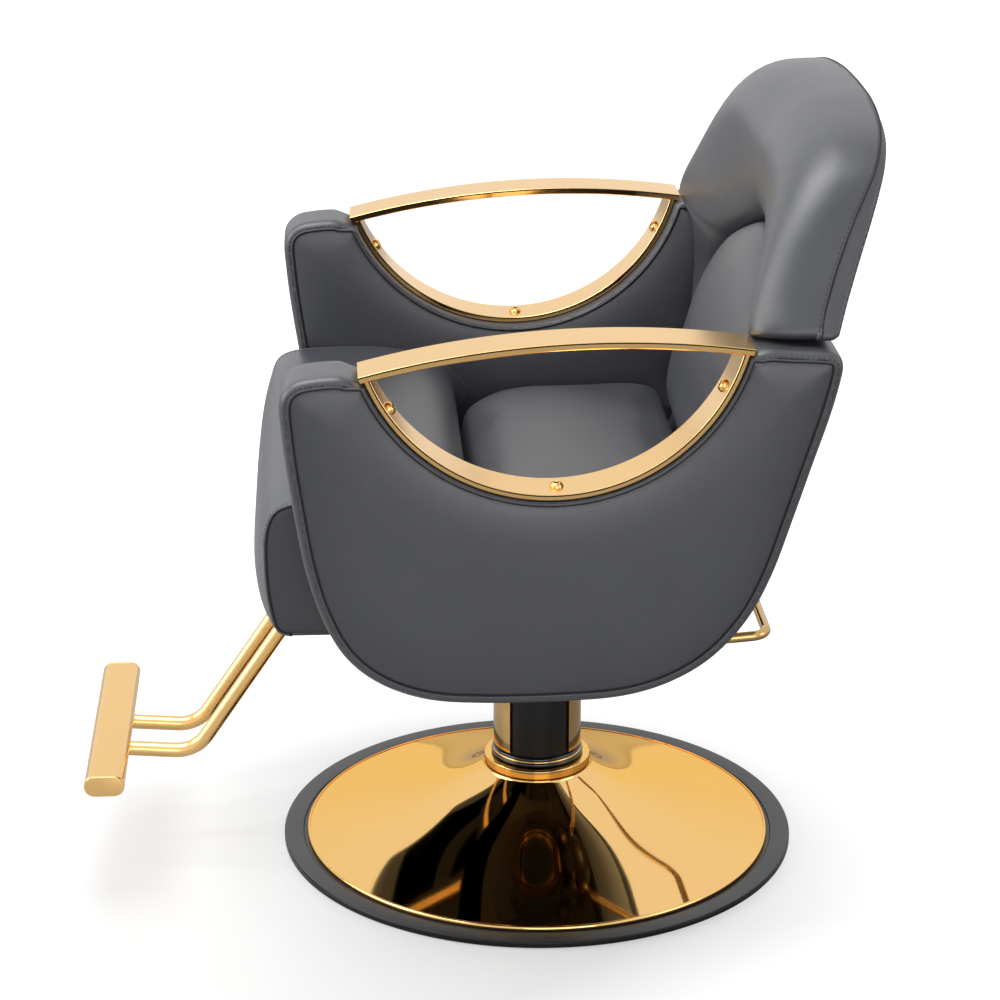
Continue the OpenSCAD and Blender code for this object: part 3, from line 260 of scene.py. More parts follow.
def bent_path(corners, bend, steps=14):
    """A path through corners with an arc of the bend radius at each."""
    p = [np.array(c, float) for c in corners]
    out = [p[0]]
    for i in range(1, len(p) - 1):
        a = (p[i] - p[i - 1]) / np.linalg.norm(p[i] - p[i - 1])
        b = (p[i + 1] - p[i]) / np.linalg.norm(p[i + 1] - p[i])
        turn = math.acos(max(-1, min(1, a @ b)))
        side = b - (a @ b) * a
        side /= np.linalg.norm(side)
        start = p[i] - bend * math.tan(turn / 2) * a
        for k in range(steps + 1):
            w = turn * k / steps
            out.append(start + bend * (math.sin(w) * a + (1 - math.cos(w)) * side))
    out.append(p[-1])
    return np.array(out)


def joined(parts):
    """One set of points and faces from several."""
    verts, faces, base = [], [], 0
    for v, f in parts:
        verts.append(np.asarray(v, float))
        faces += [tuple(i + base for i in q) for q in f]
        base += len(v)
    return np.vstack(verts), faces


def mirrored(verts):
    """The same points on the other side of the middle plane."""
    return np.asarray(verts, float) * [-1, 1, 1]


def filled(edge, seam, rows):
    """Points and triangles over the inside of an outline, with points along its seam and in the given rows.
    The outline's own points come first."""
    n, m = len(edge), len(seam)
    joins = [(i, (i + 1) % n) for i in range(n)] + [(n + i, n + (i + 1) % m) for i in range(m)]
    flat = [Vector(p) for p in np.vstack([edge, seam, *rows])]
    out, _, tris, origin, _, _ = delaunay_2d_cdt(flat, joins, [], 1, 1e-4)
    out = np.array([tuple(p) for p in out])
    order = [next(k for k, o in enumerate(origin) if i in o) for i in range(n)]
    taken = set(order)
    order += [k for k in range(len(out)) if k not in taken]
    rank = {k: i for i, k in enumerate(order)}
    return out[order], [tuple(rank[i] for i in t) for t in tris]


def stitches(path, normals):
    """A row of thread stitches along a path, each dipping into the leather at its ends."""
    hide = bpy.context.scene.chair_leather
    length, pitch, radius = hide.stitch / MM, (hide.stitch + hide.gap) / MM, 0.42
    p = np.asarray(path, float)
    n = np.asarray(normals, float)
    s = np.concatenate([[0], np.cumsum(np.linalg.norm(np.diff(p, axis=0), axis=1))])
    a = np.linspace(0, 2 * math.pi, 6, endpoint=False)[:, None]
    stations = np.array([-0.5, -0.3, 0, 0.3, 0.5]) * length
    lift = np.array([-1.0, -0.1, 0.15, -0.1, -1.0]) * radius
    fat = np.array([0.45, 0.9, 1.0, 0.9, 0.45]) * radius
    parts = []
    for k in range(int(s[-1] / pitch)):
        at = k * pitch + pitch / 2 + stations
        q = np.stack([np.interp(at, s, p[:, c]) for c in range(3)], axis=1)
        m = np.stack([np.interp(at, s, n[:, c]) for c in range(3)], axis=1)
        m /= np.maximum(np.linalg.norm(m, axis=1), 1e-9)[:, None]
        t = np.gradient(q, axis=0)
        t /= np.maximum(np.linalg.norm(t, axis=1), 1e-9)[:, None]
        v = np.cross(t, m)
        parts.append(lofted([q[i] + m[i] * lift[i] + fat[i] * (np.cos(a) * m[i] + np.sin(a) * v[i])
                             for i in range(len(q))]))
    return joined(parts)


# Finishes

def shader(name):
    """A new material with its node tree and main shader."""
    made = bpy.data.materials.new(name)
    made.use_nodes = True
    tree = made.node_tree
    return made, tree, tree.nodes["Principled BSDF"]


def add(tree, kind, values=None, **settings):
    """A node with its settings and input values."""
    made = tree.nodes.new(kind)
    for key, value in settings.items():
        setattr(made, key, value)
    for key, value in (values or {}).items():
        made.inputs[key].default_value = value
    return made


def ramp(tree, source, low, high, out_low, out_high):
    """A value range turned into another."""
    made = add(tree, "ShaderNodeMapRange", {1: low, 2: high, 3: out_low, 4: out_high})
    tree.links.new(source, made.inputs[0])
    return made.outputs[0]


def spread(tree, source, out_low, out_high):
    """The middle range of a noise turned into a range of values."""
    return ramp(tree, source, 0.3, 0.7, out_low, out_high)


def sums(tree, operation, first, second):
    """Two values, or a value and a number, worked into one."""
    made = add(tree, "ShaderNodeMath", operation=operation)
    tree.links.new(first, made.inputs[0])
    if isinstance(second, float):
        made.inputs[1].default_value = second
    else:
        tree.links.new(second, made.inputs[1])
    return made.outputs[0]


def blended(tree, factor, first, second):
    """Two colours mixed by a value."""
    made = add(tree, "ShaderNodeMix", data_type="RGBA")
    made.inputs["A"].default_value = (*first, 1)
    made.inputs["B"].default_value = (*second, 1)
    tree.links.new(factor, made.inputs["Factor"])
    return made.outputs["Result"]


def noise(tree, place, scale, detail, **more):
    """The outputs of a noise texture over the piece."""
    made = add(tree, "ShaderNodeTexNoise", {"Scale": scale, "Detail": detail, **more})
    tree.links.new(place, made.inputs["Vector"])
    return made.outputs


def bumped(tree, main, height, strength, distance):
    """Lets a texture raise the surface."""
    bump = add(tree, "ShaderNodeBump", {"Strength": strength, "Distance": distance})
    tree.links.new(height, bump.inputs["Height"])
    tree.links.new(bump.outputs[0], main.inputs["Normal"])


def shade_of(colour, share):
    """A colour made lighter or darker."""
    return tuple(min(1.0, c * share) for c in colour[:3])


def leather(name, colour, pore, depth, rough=0.35):
    """Soft grained leather: fine pebbles, wandering tone and a low sheen."""
    made, tree, main = shader(name)
    place = add(tree, "ShaderNodeTexCoord").outputs["Object"]
    drift = noise(tree, place, 0.35 / pore, 2.0)["Color"]
    bent = add(tree, "ShaderNodeVectorMath", operation="MULTIPLY_ADD")
    tree.links.new(drift, bent.inputs[0])
    bent.inputs[1].default_value = (pore * 0.8,) * 3
    tree.links.new(place, bent.inputs[2])
    pebble = add(tree, "ShaderNodeTexVoronoi", {"Scale": 1 / pore, "Randomness": 0.9},
                 feature="DISTANCE_TO_EDGE")
    tree.links.new(bent.outputs[0], pebble.inputs["Vector"])
    height = ramp(tree, pebble.outputs["Distance"], 0.0, 0.22, 0.0, 1.0)
    tone = noise(tree, place, 9.0, 3.0, Roughness=0.55)["Fac"]
    wander = spread(tree, tone, 0.0, 1.0)
    creased = add(tree, "ShaderNodeMix", {"Factor": 1.0}, data_type="RGBA", blend_type="MULTIPLY")
    tree.links.new(blended(tree, wander, shade_of(colour, 0.93), shade_of(colour, 1.06)), creased.inputs["A"])
    tree.links.new(blended(tree, height, (0.80, 0.80, 0.80), (1, 1, 1)), creased.inputs["B"])
    tree.links.new(creased.outputs["Result"], main.inputs["Base Color"])
    tree.links.new(spread(tree, tone, rough - 0.04, rough + 0.05), main.inputs["Roughness"])
    bumped(tree, main, height, 0.35, depth)
    main.inputs["Specular IOR Level"].default_value = 0.75
    main.inputs["Sheen Weight"].default_value = 0.02
    return made


def gold(name, colour, rough, smear, edge=(1, 1, 1)):
    """Plated gold with faint polishing marks. `edge` tints what it mirrors at a flat angle."""
    made, tree, main = shader(name)
    place = add(tree, "ShaderNodeTexCoord").outputs["Object"]
    haze = noise(tree, place, 14.0, 4.0)["Fac"]
    tree.links.new(blended(tree, haze, shade_of(colour, 0.97), shade_of(colour, 1.03)),
                   main.inputs["Base Color"])
    tree.links.new(spread(tree, haze, rough, rough + smear), main.inputs["Roughness"])
    main.inputs["Metallic"].default_value = 1.0
    main.inputs["Specular Tint"].default_value = (*edge, 1)
    bumped(tree, main, noise(tree, place, 700.0, 2.0)["Fac"], 0.03, 0.0001)
    return made


def enamel(name, colour, rough, metal=0.0, grain=900.0, depth=0.00003, coat=0.0, shine=0.5):
    """Painted, moulded or machined surface with a fine texture."""
    made, tree, main = shader(name)
    place = add(tree, "ShaderNodeTexCoord").outputs["Object"]
    broad = noise(tree, place, 12.0, 3.0)["Fac"]
    tree.links.new(blended(tree, broad, shade_of(colour, 0.88), shade_of(colour, 1.12)),
                   main.inputs["Base Color"])
    tree.links.new(spread(tree, broad, rough * 0.85, rough * 1.15), main.inputs["Roughness"])
    bumped(tree, main, noise(tree, place, grain, 2.0)["Fac"], 0.25, depth)
    main.inputs["Metallic"].default_value = metal
    main.inputs["Coat Weight"].default_value = coat
    main.inputs["Specular IOR Level"].default_value = shine
    return made


def plywood(name):
    """Birch board with its grain along the seat's width."""
    made, tree, main = shader(name)
    place = add(tree, "ShaderNodeTexCoord").outputs["Object"]
    stretch = add(tree, "ShaderNodeMapping", {"Scale": (3.0, 40.0, 160.0)})
    tree.links.new(place, stretch.inputs["Vector"])
    grain = noise(tree, stretch.outputs[0], 2.0, 6.0, Roughness=0.6)["Fac"]
    tree.links.new(blended(tree, grain, (0.36, 0.22, 0.11), (0.62, 0.45, 0.27)), main.inputs["Base Color"])
    main.inputs["Roughness"].default_value = 0.6
    bumped(tree, main, grain, 0.3, 0.0002)
    return made


FINISHES = {}


def finish(name):
    """The named finish, made from the current settings when first asked for."""
    if name in FINISHES:
        return FINISHES[name]
    hide = bpy.context.scene.chair_leather
    metal = bpy.context.scene.chair_metal
    makers = {
        "leather": lambda: leather("charcoal_leather", hide.colour, hide.pore_size, hide.pore_depth),
        # The same leather drawn darker: painted shade for the front roll's end caps, which sit in shadow
        # beside the panels.
        "side": lambda: leather("bolster_side_painted_shade", shade_of(hide.colour, 0.62), hide.pore_size,
                                hide.pore_depth, 0.5),
        "welt": lambda: leather("piping_leather", shade_of(hide.colour, 0.9), hide.pore_size * 0.7,
                                hide.pore_depth, 0.4),
        "seam": lambda: enamel("seam_shadow", (0.006, 0.006, 0.007), 0.7),
        "thread": lambda: enamel("sewing_thread", hide.thread, 0.6, grain=3000.0),
        "polished": lambda: gold("polished_gold", metal.colour, metal.polish, 0.02, (0.97, 0.76, 0.42)),
        "satin": lambda: gold("satin_gold", metal.colour, metal.satin, 0.06),
        # A darker copy of the plated gold: painted shade and painted dark reflection on the sleeve, the pedal
        # and the armrests' side flanks.
        "shaded_gold": lambda: gold("painted_shade_gold", shade_of(metal.colour, 0.66), metal.polish, 0.02),
        # Painted shade: near black brown for the armrests' grooves and the screws' hex sockets.
        "recess_shade": lambda: enamel("shadow_groove", (0.012, 0.007, 0.003), 0.6),
        "gloss": lambda: enamel("gloss_black_steel", (0.010, 0.010, 0.011), 0.22, shine=0.25),
        "rim": lambda: enamel("graphite_rim", (0.075, 0.075, 0.079), 0.34, 0.6),
        "oxide": lambda: enamel("blackened_steel", (0.030, 0.030, 0.032), 0.42, 0.5, shine=0.1),
        "stained": lambda: enamel("black_stained_board", (0.022, 0.020, 0.018), 0.6, grain=260.0,
                                  depth=0.0001, shine=0.1),
        "black": lambda: enamel("black_frame_paint", (0.014, 0.014, 0.015), 0.42, shine=0.15),
        "rubber": lambda: enamel("black_rubber", (0.015, 0.015, 0.016), 0.55, depth=0.00008),
        "lip": lambda: enamel("gloss_rubber", (0.008, 0.008, 0.009), 0.16, coat=0.3),
        "steel": lambda: enamel("plain_steel", (0.55, 0.56, 0.58), 0.28, 1.0),
        "bronze": lambda: enamel("bearing_bronze", (0.50, 0.33, 0.14), 0.3, 1.0),
        "plywood": lambda: plywood("birch_plywood"),
    }
    FINISHES[name] = makers[name]()
    return FINISHES[name]


# Sizes of the solid model that the pieces are fitted to, in millimetres

SEAT_Z, BOARD_T = 344.0, 18.0
PANEL_IN, PANEL_OUT, PANEL_R = 262.0, 327.0, 9.0
PANEL_Y, PANEL_D, PANEL_Z, PANEL_H = -268.0, 532.0, 295.0, 355.5
BAND_C, BAND_R, BAND_T = (-10.0, 697.0), 191.5, 6.0
ARCH_C, ARCH_R, BAR_T, BAR_TIP = (44.0, -277.0), 939.0, 7.0, 3.5
ARM_X, ARM_W = 302.0, 49.6
KNEE_Y, KNEE_Z, LEAN_LOW, LEAN_TOP = 257.0, 646.0, math.radians(13.7), math.radians(20.0)
BACK_T, BACK_HALF, BACK_H, BACK_DROP, LUMBAR_HALF = 22.0, 312.0, 206.0, 236.0, 252.0
# Radius of the near black tubes drawn along seams as painted seam shadow.
SEAM_SHADOW_R = 0.8

# Outlines as shares of a piece's depth and height

PANEL_SHARES = [
    (0.1208, 0.9388), (0.1053, 0.9453), (0.0677, 0.9425), (0.0320, 0.9326), (0.0094, 0.9073), (0, 0.8680),
    (0.0019, 0.8034), (0.0094, 0.6910), (0.0226, 0.5502), (0.0395, 0.4010), (0.0658, 0.2660),
    (0.1071, 0.1480), (0.1692, 0.0663), (0.2556, 0.0156), (0.3628, 0), (0.5038, 0), (0.6165, 0.0113),
    (0.7049, 0.0507), (0.7801, 0.1211), (0.8421, 0.2281), (0.8853, 0.3577), (0.9211, 0.5211),
    (0.9530, 0.6761), (0.9812, 0.8113), (0.9981, 0.9155), (1, 0.9577), (0.9887, 0.9831), (0.9624, 0.9915),
    (0.9080, 0.9960), (0.8700, 1), (0.8500, 0.9950),
]
REAR_SHARES = [(0.7200, 0.0620), (0.7801, 0.1211), (0.8421, 0.2281), (0.8620, 0.3000)]
ROLL_SHARES = [
    (0.105, 0), (0.068, 0.014), (0.040, 0.056), (0.022, 0.155), (0.006, 0.338), (0, 0.535), (0.002, 0.711),
    (0.019, 0.845), (0.047, 0.923), (0.097, 0.968), (0.175, 0.990), (0.300, 1), (0.443, 1), (0.567, 0.986),
    (0.690, 0.944), (0.794, 0.873), (0.889, 0.761), (0.946, 0.655), (0.979, 0.535), (0.996, 0.394),
    (1, 0.218), (1, 0),
]
# Share of the roll's swell at each of those points
ROLL_SWELL = [
    0, 0.45, 0.85, 1, 0.93, 0.68, 0.45, 0.25, 0.1, 0.1, 0.2, 0.35, 0.5, 0.55, 0.6, 0.6, 0.6, 0.5, 0.3, 0.1,
    0, 0,
]
ROLL_HALF, ROLL_Y, ROLL_D, ROLL_H = 258.0, -287.5, 242.5, 142.0
PAD_HALF, PAD_FRONT, PAD_REAR, PAD_CORNER = 251.0, 80.0, 158.0, 45.0
BOARD_SHARES = [
    (0.93, 0.030), (0.985, 0.040), (1, 0.075), (0.970, 0.150), (0.937, 0.238), (0.897, 0.370), (0.850, 0.550),
    (0.805, 0.690), (0.745, 0.810), (0.640, 0.904), (0.480, 0.957), (0.250, 0.984), (0, 0.991),
]
# Distance of the edge's seam ahead of the board's rear face, at each of those points
EDGE_SEAM = [16, 16, 18, 21, 21.6, 21.6, 19.5, 15, 10, 7, 4, 1.5, 1]
ARCH_IN = [
    (0.711, -0.650), (0.695, -0.558), (0.682, -0.451), (0.650, -0.340), (0.593, -0.228), (0.538, -0.146),
    (0.487, -0.077), (0.442, -0.029), (0.391, 0.015), (0.334, 0.063), (0.288, 0.097), (0.231, 0.136),
    (0.173, 0.170), (0.122, 0.199), (0.077, 0.216), (0.039, 0.226), (0, 0.228),
]
ARCH_OUT = [
    (0.763, -0.650), (0.812, -0.574), (0.818, -0.388), (0.818, -0.194), (0.818, -0.029), (0.833, 0.024),
    (0.920, 0.027), (0.985, 0.055), (0.972, 0.140), (0.937, 0.238), (0.900, 0.360), (0.850, 0.545),
    (0.790, 0.725), (0.670, 0.884), (0.480, 0.952), (0.250, 0.979), (0, 0.986),
]
# Share of the arched pad's thickness, and how far across its crest lies, at each of those points
ARCH_RISE = [0.20, 0.25, 0.34, 0.47, 0.65, 0.77, 0.84, 0.92, 0.97, 1, 1, 1, 1, 0.99, 0.97, 0.96, 0.95]
ARCH_CREST = [0.84] * 9 + [0.83, 0.82, 0.80, 0.76, 0.71, 0.66, 0.62, 0.6]
LUMBAR_SHARES = [
    (0, -1.093), (0.40, -1.084), (0.72, -1.069), (0.87, -1.039), (0.95, -0.981), (0.985, -0.883),
    (0.995, -0.784), (0.975, -0.711), (0.915, -0.686), (0.870, -0.647), (0.853, -0.559), (0.838, -0.453),
    (0.798, -0.343), (0.726, -0.232), (0.658, -0.151), (0.594, -0.082), (0.475, 0.010), (0.350, 0.086),
    (0.210, 0.155), (0.093, 0.202), (0, 0.216),
]


def on_back(x, s, t):
    """A place on the back: across, up its slope from the knee, and ahead of its rear face."""
    x, s, t = np.broadcast_arrays(np.asarray(x, float), np.asarray(s, float), np.asarray(t, float))
    lean = np.where(s < 0, LEAN_LOW, LEAN_TOP)
    return np.stack([x, KNEE_Y + s * np.sin(lean) - t, KNEE_Z + s * np.cos(lean)], axis=-1)


def eased(values, steps):
    """Values on a smooth curve through the given ones."""
    return curve_through([(v, 0) for v in values], steps)[:, 0]


def across(x, line):
    """A line of (rearward, up) at one place across the chair, or at one for each point."""
    return np.column_stack([np.full(len(line), x), line])


def swell_as_cloth(ob, most, held):
    """Lets a cushion's cover swell over its filling, each point by no more than `most` metres. `held` tells
    from the points in millimetres which of them stay."""
    voxel, pressure, frames = 0.005, 4.0, 20
    scene = bpy.context.scene
    remesh = ob.modifiers.new("cover", "REMESH")
    remesh.mode = "VOXEL"
    remesh.voxel_size = voxel
    graph = bpy.context.evaluated_depsgraph_get()
    fine = bpy.data.meshes.new_from_object(ob.evaluated_get(graph))
    ob.modifiers.clear()
    ob.data = fine
    fine.shade_smooth()
    start = np.empty(len(fine.vertices) * 3)
    fine.vertices.foreach_get("co", start)
    start = start.reshape(-1, 3)
    cloth = ob.modifiers.new("cloth", "CLOTH")
    s = cloth.settings
    s.quality = 6
    s.mass = 0.3
    s.tension_stiffness = 12
    s.compression_stiffness = 12
    s.shear_stiffness = 5
    s.bending_stiffness = 0.6
    s.use_pressure = True
    s.uniform_pressure_force = pressure
    s.effector_weights.gravity = 0
    cloth.point_cache.frame_start = 1
    cloth.point_cache.frame_end = frames
    group = ob.vertex_groups.new(name="held")
    group.add([int(i) for i in np.nonzero(held(start / MM))[0]], 1.0, "REPLACE")
    s.vertex_group_mass = "held"
    s.pin_stiffness = 1.0
    for frame_now in range(1, frames + 1):
        scene.frame_set(frame_now)
    graph = bpy.context.evaluated_depsgraph_get()
    swollen = bpy.data.meshes.new_from_object(ob.evaluated_get(graph))
    end = np.empty(len(swollen.vertices) * 3)
    swollen.vertices.foreach_get("co", end)
    move = end.reshape(-1, 3) - start
    far = np.linalg.norm(move, axis=1)
    move *= np.minimum(1, most / np.maximum(far, 1e-9))[:, None]
    ob.modifiers.clear()
    ob.data.vertices.foreach_set("co", (start + move).ravel())
    ob.data.update()
    bpy.data.meshes.remove(swollen)
    scene.frame_set(1)


def soften(ob, times):
    """Evens out a mesh's small steps."""
    bm = bmesh.new()
    bm.from_mesh(ob.data)
    for _ in range(times):
        bmesh.ops.smooth_vert(bm, verts=bm.verts, factor=0.5, use_axis_x=True, use_axis_y=True,
                              use_axis_z=True)
    bm.to_mesh(ob.data)
    bm.free()
    ob.data.shade_smooth()


def refine(ob):
    """One round of subdivision on a piece."""
    made = ob.modifiers.new("smooth", "SUBSURF")
    made.levels = made.render_levels = 1


class ChairLeather(bpy.types.PropertyGroup):
    """Leather, piping and sewing"""

    colour: FloatVectorProperty(name="Leather", description="Colour of the leather", subtype="COLOR", size=3,
                                min=0, max=1, default=(0.060, 0.063, 0.074))
    thread: FloatVectorProperty(name="Thread", description="Colour of the sewing thread", subtype="COLOR",
                                size=3, min=0, max=1, default=(0.012, 0.012, 0.014))
    pore_size: FloatProperty(name="Grain Size", description="Distance between the grain's pebbles",
                             unit="LENGTH", min=0.0004, max=0.004, default=0.0011)
    pore_depth: FloatProperty(name="Grain Depth", description="Depth of the creases between the pebbles",
                              unit="LENGTH", min=0, max=0.001, default=0.00012)
    welt: FloatProperty(name="Piping Radius", description="Radius of the piping in the seams",
                        unit="LENGTH", min=0.0005, max=0.004, default=0.0013)
    stitch: FloatProperty(name="Stitch Length", description="Length of one stitch",
                          unit="LENGTH", min=0.001, max=0.008, default=0.0032)
    gap: FloatProperty(name="Stitch Gap", description="Leather between two stitches",
                       unit="LENGTH", min=0.0005, max=0.006, default=0.0020)


class ChairCushions(bpy.types.PropertyGroup):
    """Fullness of the cushions"""

    seat_crown: FloatProperty(name="Seat Crown", description="Height of the seat pad above its sides",
                              unit="LENGTH", min=0.005, max=0.06, default=0.032)
    seat_swell: FloatProperty(name="Seat Swell", description="Most that the pad's cover moves as it fills",
                              unit="LENGTH", min=0, max=0.02, default=0.004)
    lumbar_crown: FloatProperty(name="Lumbar Crown", description="Height of the lumbar cushion's swell",
                                unit="LENGTH", min=0.005, max=0.06, default=0.029)
    panel_crown: FloatProperty(name="Panel Crown", description="Height that a side panel's face swells",
                               unit="LENGTH", min=0, max=0.01, default=0.0065)
    roll_crown: FloatProperty(name="Roll Crown", description="Height of the front roll's swell",
                              unit="LENGTH", min=0, max=0.03, default=0.016)


class ChairMetal(bpy.types.PropertyGroup):
    """Gold plating"""

    colour: FloatVectorProperty(name="Gold", description="Colour of the plating", subtype="COLOR", size=3,
                                min=0, max=1, default=(0.88, 0.56, 0.22))
    polish: FloatProperty(name="Mirror Roughness", description="Roughness of the base, collar and column",
                          subtype="FACTOR", min=0, max=1, default=0.04)
    satin: FloatProperty(name="Satin Roughness", description="Roughness of the armrests and footrest",
                         subtype="FACTOR", min=0, max=1, default=0.16)


class ChairStudio(bpy.types.PropertyGroup):
    """Camera and lamps"""

    eye: FloatVectorProperty(name="Camera", description="Place of the camera", subtype="TRANSLATION", size=3,
                             default=(2.91998, -0.21754, 1.44451))
    aim: FloatVectorProperty(name="Aim", description="Point that the camera looks at", subtype="TRANSLATION",
                             size=3, default=(0.0, -0.04091, 0.38966))
    lens: FloatProperty(name="Lens", description="Focal length on a 36 mm sensor", subtype="DISTANCE_CAMERA",
                        min=20, max=300, default=104.75)
    top: FloatProperty(name="Top Lamp", description="Power of the soft box above the chair", unit="POWER",
                       min=0, max=500, default=46)
    front: FloatProperty(name="Front Lamp", description="Power of the soft box ahead of the chair",
                         unit="POWER", min=0, max=500, default=40)
    rear: FloatProperty(name="Rear Lamp", description="Power of the soft box behind the chair", unit="POWER",
                        min=0, max=500, default=10)
    side: FloatProperty(name="Side Lamp", description="Power of the soft box on the camera's side",
                        unit="POWER", min=0, max=500, default=20)
    room: FloatProperty(name="Room Light", description="Strength of the light from all round", min=0, max=2,
                        default=0.15)


class ChairBase(bpy.types.Operator):
    """Turn the floor plate and the flared gold cover"""

    bl_idname = "chair.base"
    bl_label = "Base"

    def execute(self, context):
        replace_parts(self.plate(), "base_plate")
        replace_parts(self.cover(), "base_cover")
        return {"FINISHED"}

    def plate(self):
        """The round plate with its raised graphite rim; its side is drawn gloss black as painted shade."""
        radius, low, top, gutter, seat = 280.0, 1.5, 8.0, 6.5, 7.6
        rim_in, seat_r = 258.4, 240.0
        line = rounded([
            (0, low, 0), (radius - 0.4, low, 0.3), (radius, low + 0.5, 0.3), (radius, top - 1.2, 0.4),
            (radius - 1.2, top, 0.4), (rim_in + 0.8, top, 0.5), (rim_in, gutter, 0.2), (seat_r, gutter, 0.2),
            (seat_r, seat, 0.2), (0, seat, 0),
        ], 0.3)
        verts, faces = turned(line, 256, closed=False)
        middles = [verts[list(f)].mean(0) for f in faces]
        # The rim's side faces take gloss black: painted shade where the side stands in shadow above the
        # floor.
        side = [k for k, p in enumerate(middles) if p[2] < top - 0.1 and np.hypot(*p[:2]) > radius - 3]
        return piece("floor_plate", verts, faces, [finish("rim"), finish("gloss")], "base", "plate_metal",
                     sharp=40, seconds=side)

    def cover(self):
        """The thin cover: a rounded bead at its foot, then nearly a straight cone up to the neck."""
        low, edge, lip, sheet = 6.8, 254.6, 2.5, 1.5
        neck, top, cone, flare = 58.6, 84.0, 50.0, 5.4
        r = np.linspace(edge - lip, neck, 90)
        share = ((edge - r) / (edge - neck - 0.4)).clip(0)
        foot = low + 2 * lip - sheet
        height = foot + cone * share + (top - foot - cone) * share**flare
        bead = arc((edge - lip, low + lip), lip, -60, 100, 24)
        turn = [(neck, top + 0.6), (neck - 1, top + 0.9), (neck - 1.8, top + 0.4)]
        under = np.stack([r[::-1] - 1.2, height[::-1] - sheet], axis=1)
        line = np.vstack([bead, np.stack([r, height], axis=1), turn, under])
        return piece("flared_cover", *turned(line, 256), finish("polished"), "base", "gold_metal", sharp=50)


class ChairColumn(bpy.types.Operator):
    """Turn the collar, the seals, the black barrel and the slotted gold sleeve"""

    bl_idname = "chair.column"
    bl_label = "Column"

    def execute(self, context):
        bore = 45.3
        low, step, radius, top = 84.3, 86.2, 58.0, 96.0
        line = rounded([
            (bore, low), (radius - 2.2, low), (radius - 2.2, step), (radius - 0.4, step),
            (radius, step + 0.6), (radius, top - 0.8), (radius - 0.8, top), (bore, top),
        ], 0.35)
        collar = piece("neck_collar", *turned(line), finish("polished"), "base", "gold_metal", sharp=40)
        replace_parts(collar, "collar_ring")
        foot, big, small, upper = top + 0.3, 2.7, 2.4, 104.4
        line = np.vstack([
            [(bore, foot)], arc((bore + 2.3, foot + big), big, -90, 78, 14),
            arc((bore + 1.3, upper), small, -62, 90, 12), [(bore, upper + small)],
        ])
        seal = piece("dust_lip", *turned(line), finish("lip"), "base", "rubber", sharp=50)
        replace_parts(seal, "dust_seal")
        line = arc((48.0, 102.0), 1.1, 0, 340, 18)
        trim = piece("seal_band", *turned(line), finish("polished"), "base", "gold_metal")
        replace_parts(trim, "seal_trim")
        radius, wall, low, high = 45.0, 9.0, 10.0, 250.0
        line = rounded([
            (radius - wall, low), (radius, low, 0.3), (radius, high - 0.8, 0.8), (radius - wall, high, 0.8),
        ], 0.3)
        barrel = piece("pump_tube", *turned(line), finish("gloss"), "base", "black_metal", sharp=40)
        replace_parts(barrel, "barrel")
        rim, low, high = 80.0, 8.3, 16.3
        line = rounded([(radius, low), (rim, low), (rim, high), (radius, high)], 0.8)
        flange = piece("pump_foot", *turned(line), finish("black"), "base", "black_metal", sharp=40)
        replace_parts(flange, "barrel")
        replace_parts(self.sleeve(), "pump_sleeve")
        return {"FINISHED"}

    def sleeve(self):
        """One tube with a slot on either side, drawn as a grid that leaves out the slots' cells."""
        inner, outer, low, high = 46.3, 48.0, 108.5, 268.0
        slot_top, slot_w, bevel = 252.0, 64.6, 0.35
        half = math.degrees(math.asin(slot_w / 2 / outer))
        spans = [(-half, half, 25), (half, 180 - half, 29), (180 - half, 180 + half, 25),
                 (180 + half, 360 - half, 29)]
        angles = sorted(set(np.round(np.concatenate([np.linspace(*span) for span in spans]), 5) % 360))
        levels = [low, low + 0.5, *np.linspace(low + 4, slot_top - 4, 12), slot_top, slot_top + 1,
                  high - 0.5, high]
        n, m = len(angles), len(levels)
        verts, index = [], {}
        for side, radius in enumerate((outer, inner)):
            for zi, z in enumerate(levels):
                r = radius - (bevel if side == 0 and zi in (0, m - 1) else 0)
                for ai, a in enumerate(angles):
                    index[side, zi, ai] = len(verts)
                    verts.append((r * math.cos(math.radians(a)), r * math.sin(math.radians(a)), z))

        def solid(zi, ai):
            a = angles[ai] + ((angles[(ai + 1) % n] - angles[ai]) % 360) / 2
            off = min(abs((a + 180) % 360 - 180), abs(a % 360 - 180))
            return 0 <= zi < m - 1 and (off > half or levels[zi] >= slot_top - 0.01)

        faces = []
        for zi in range(m - 1):
            for ai in range(n):
                if not solid(zi, ai):
                    continue
                b = (ai + 1) % n
                cell = [(zi, ai), (zi, b), (zi + 1, b), (zi + 1, ai)]
                faces.append([index[(0, *k)] for k in cell])
                faces.append([index[(1, *k)] for k in reversed(cell)])
                beside = [(zi - 1, ai), (zi, b), (zi + 1, ai), (zi, (ai - 1) % n)]
                for k, other in enumerate(beside):
                    if not solid(*other):
                        p, q = cell[k], cell[(k + 1) % 4]
                        faces.append([index[(0, *q)], index[(0, *p)], index[(1, *p)], index[(1, *q)]])
        # The sleeve's gold is drawn darker as painted dark reflection.
        return piece("slotted_sleeve", verts, faces, finish("shaded_gold"), "chair", "gold_metal", sharp=35)


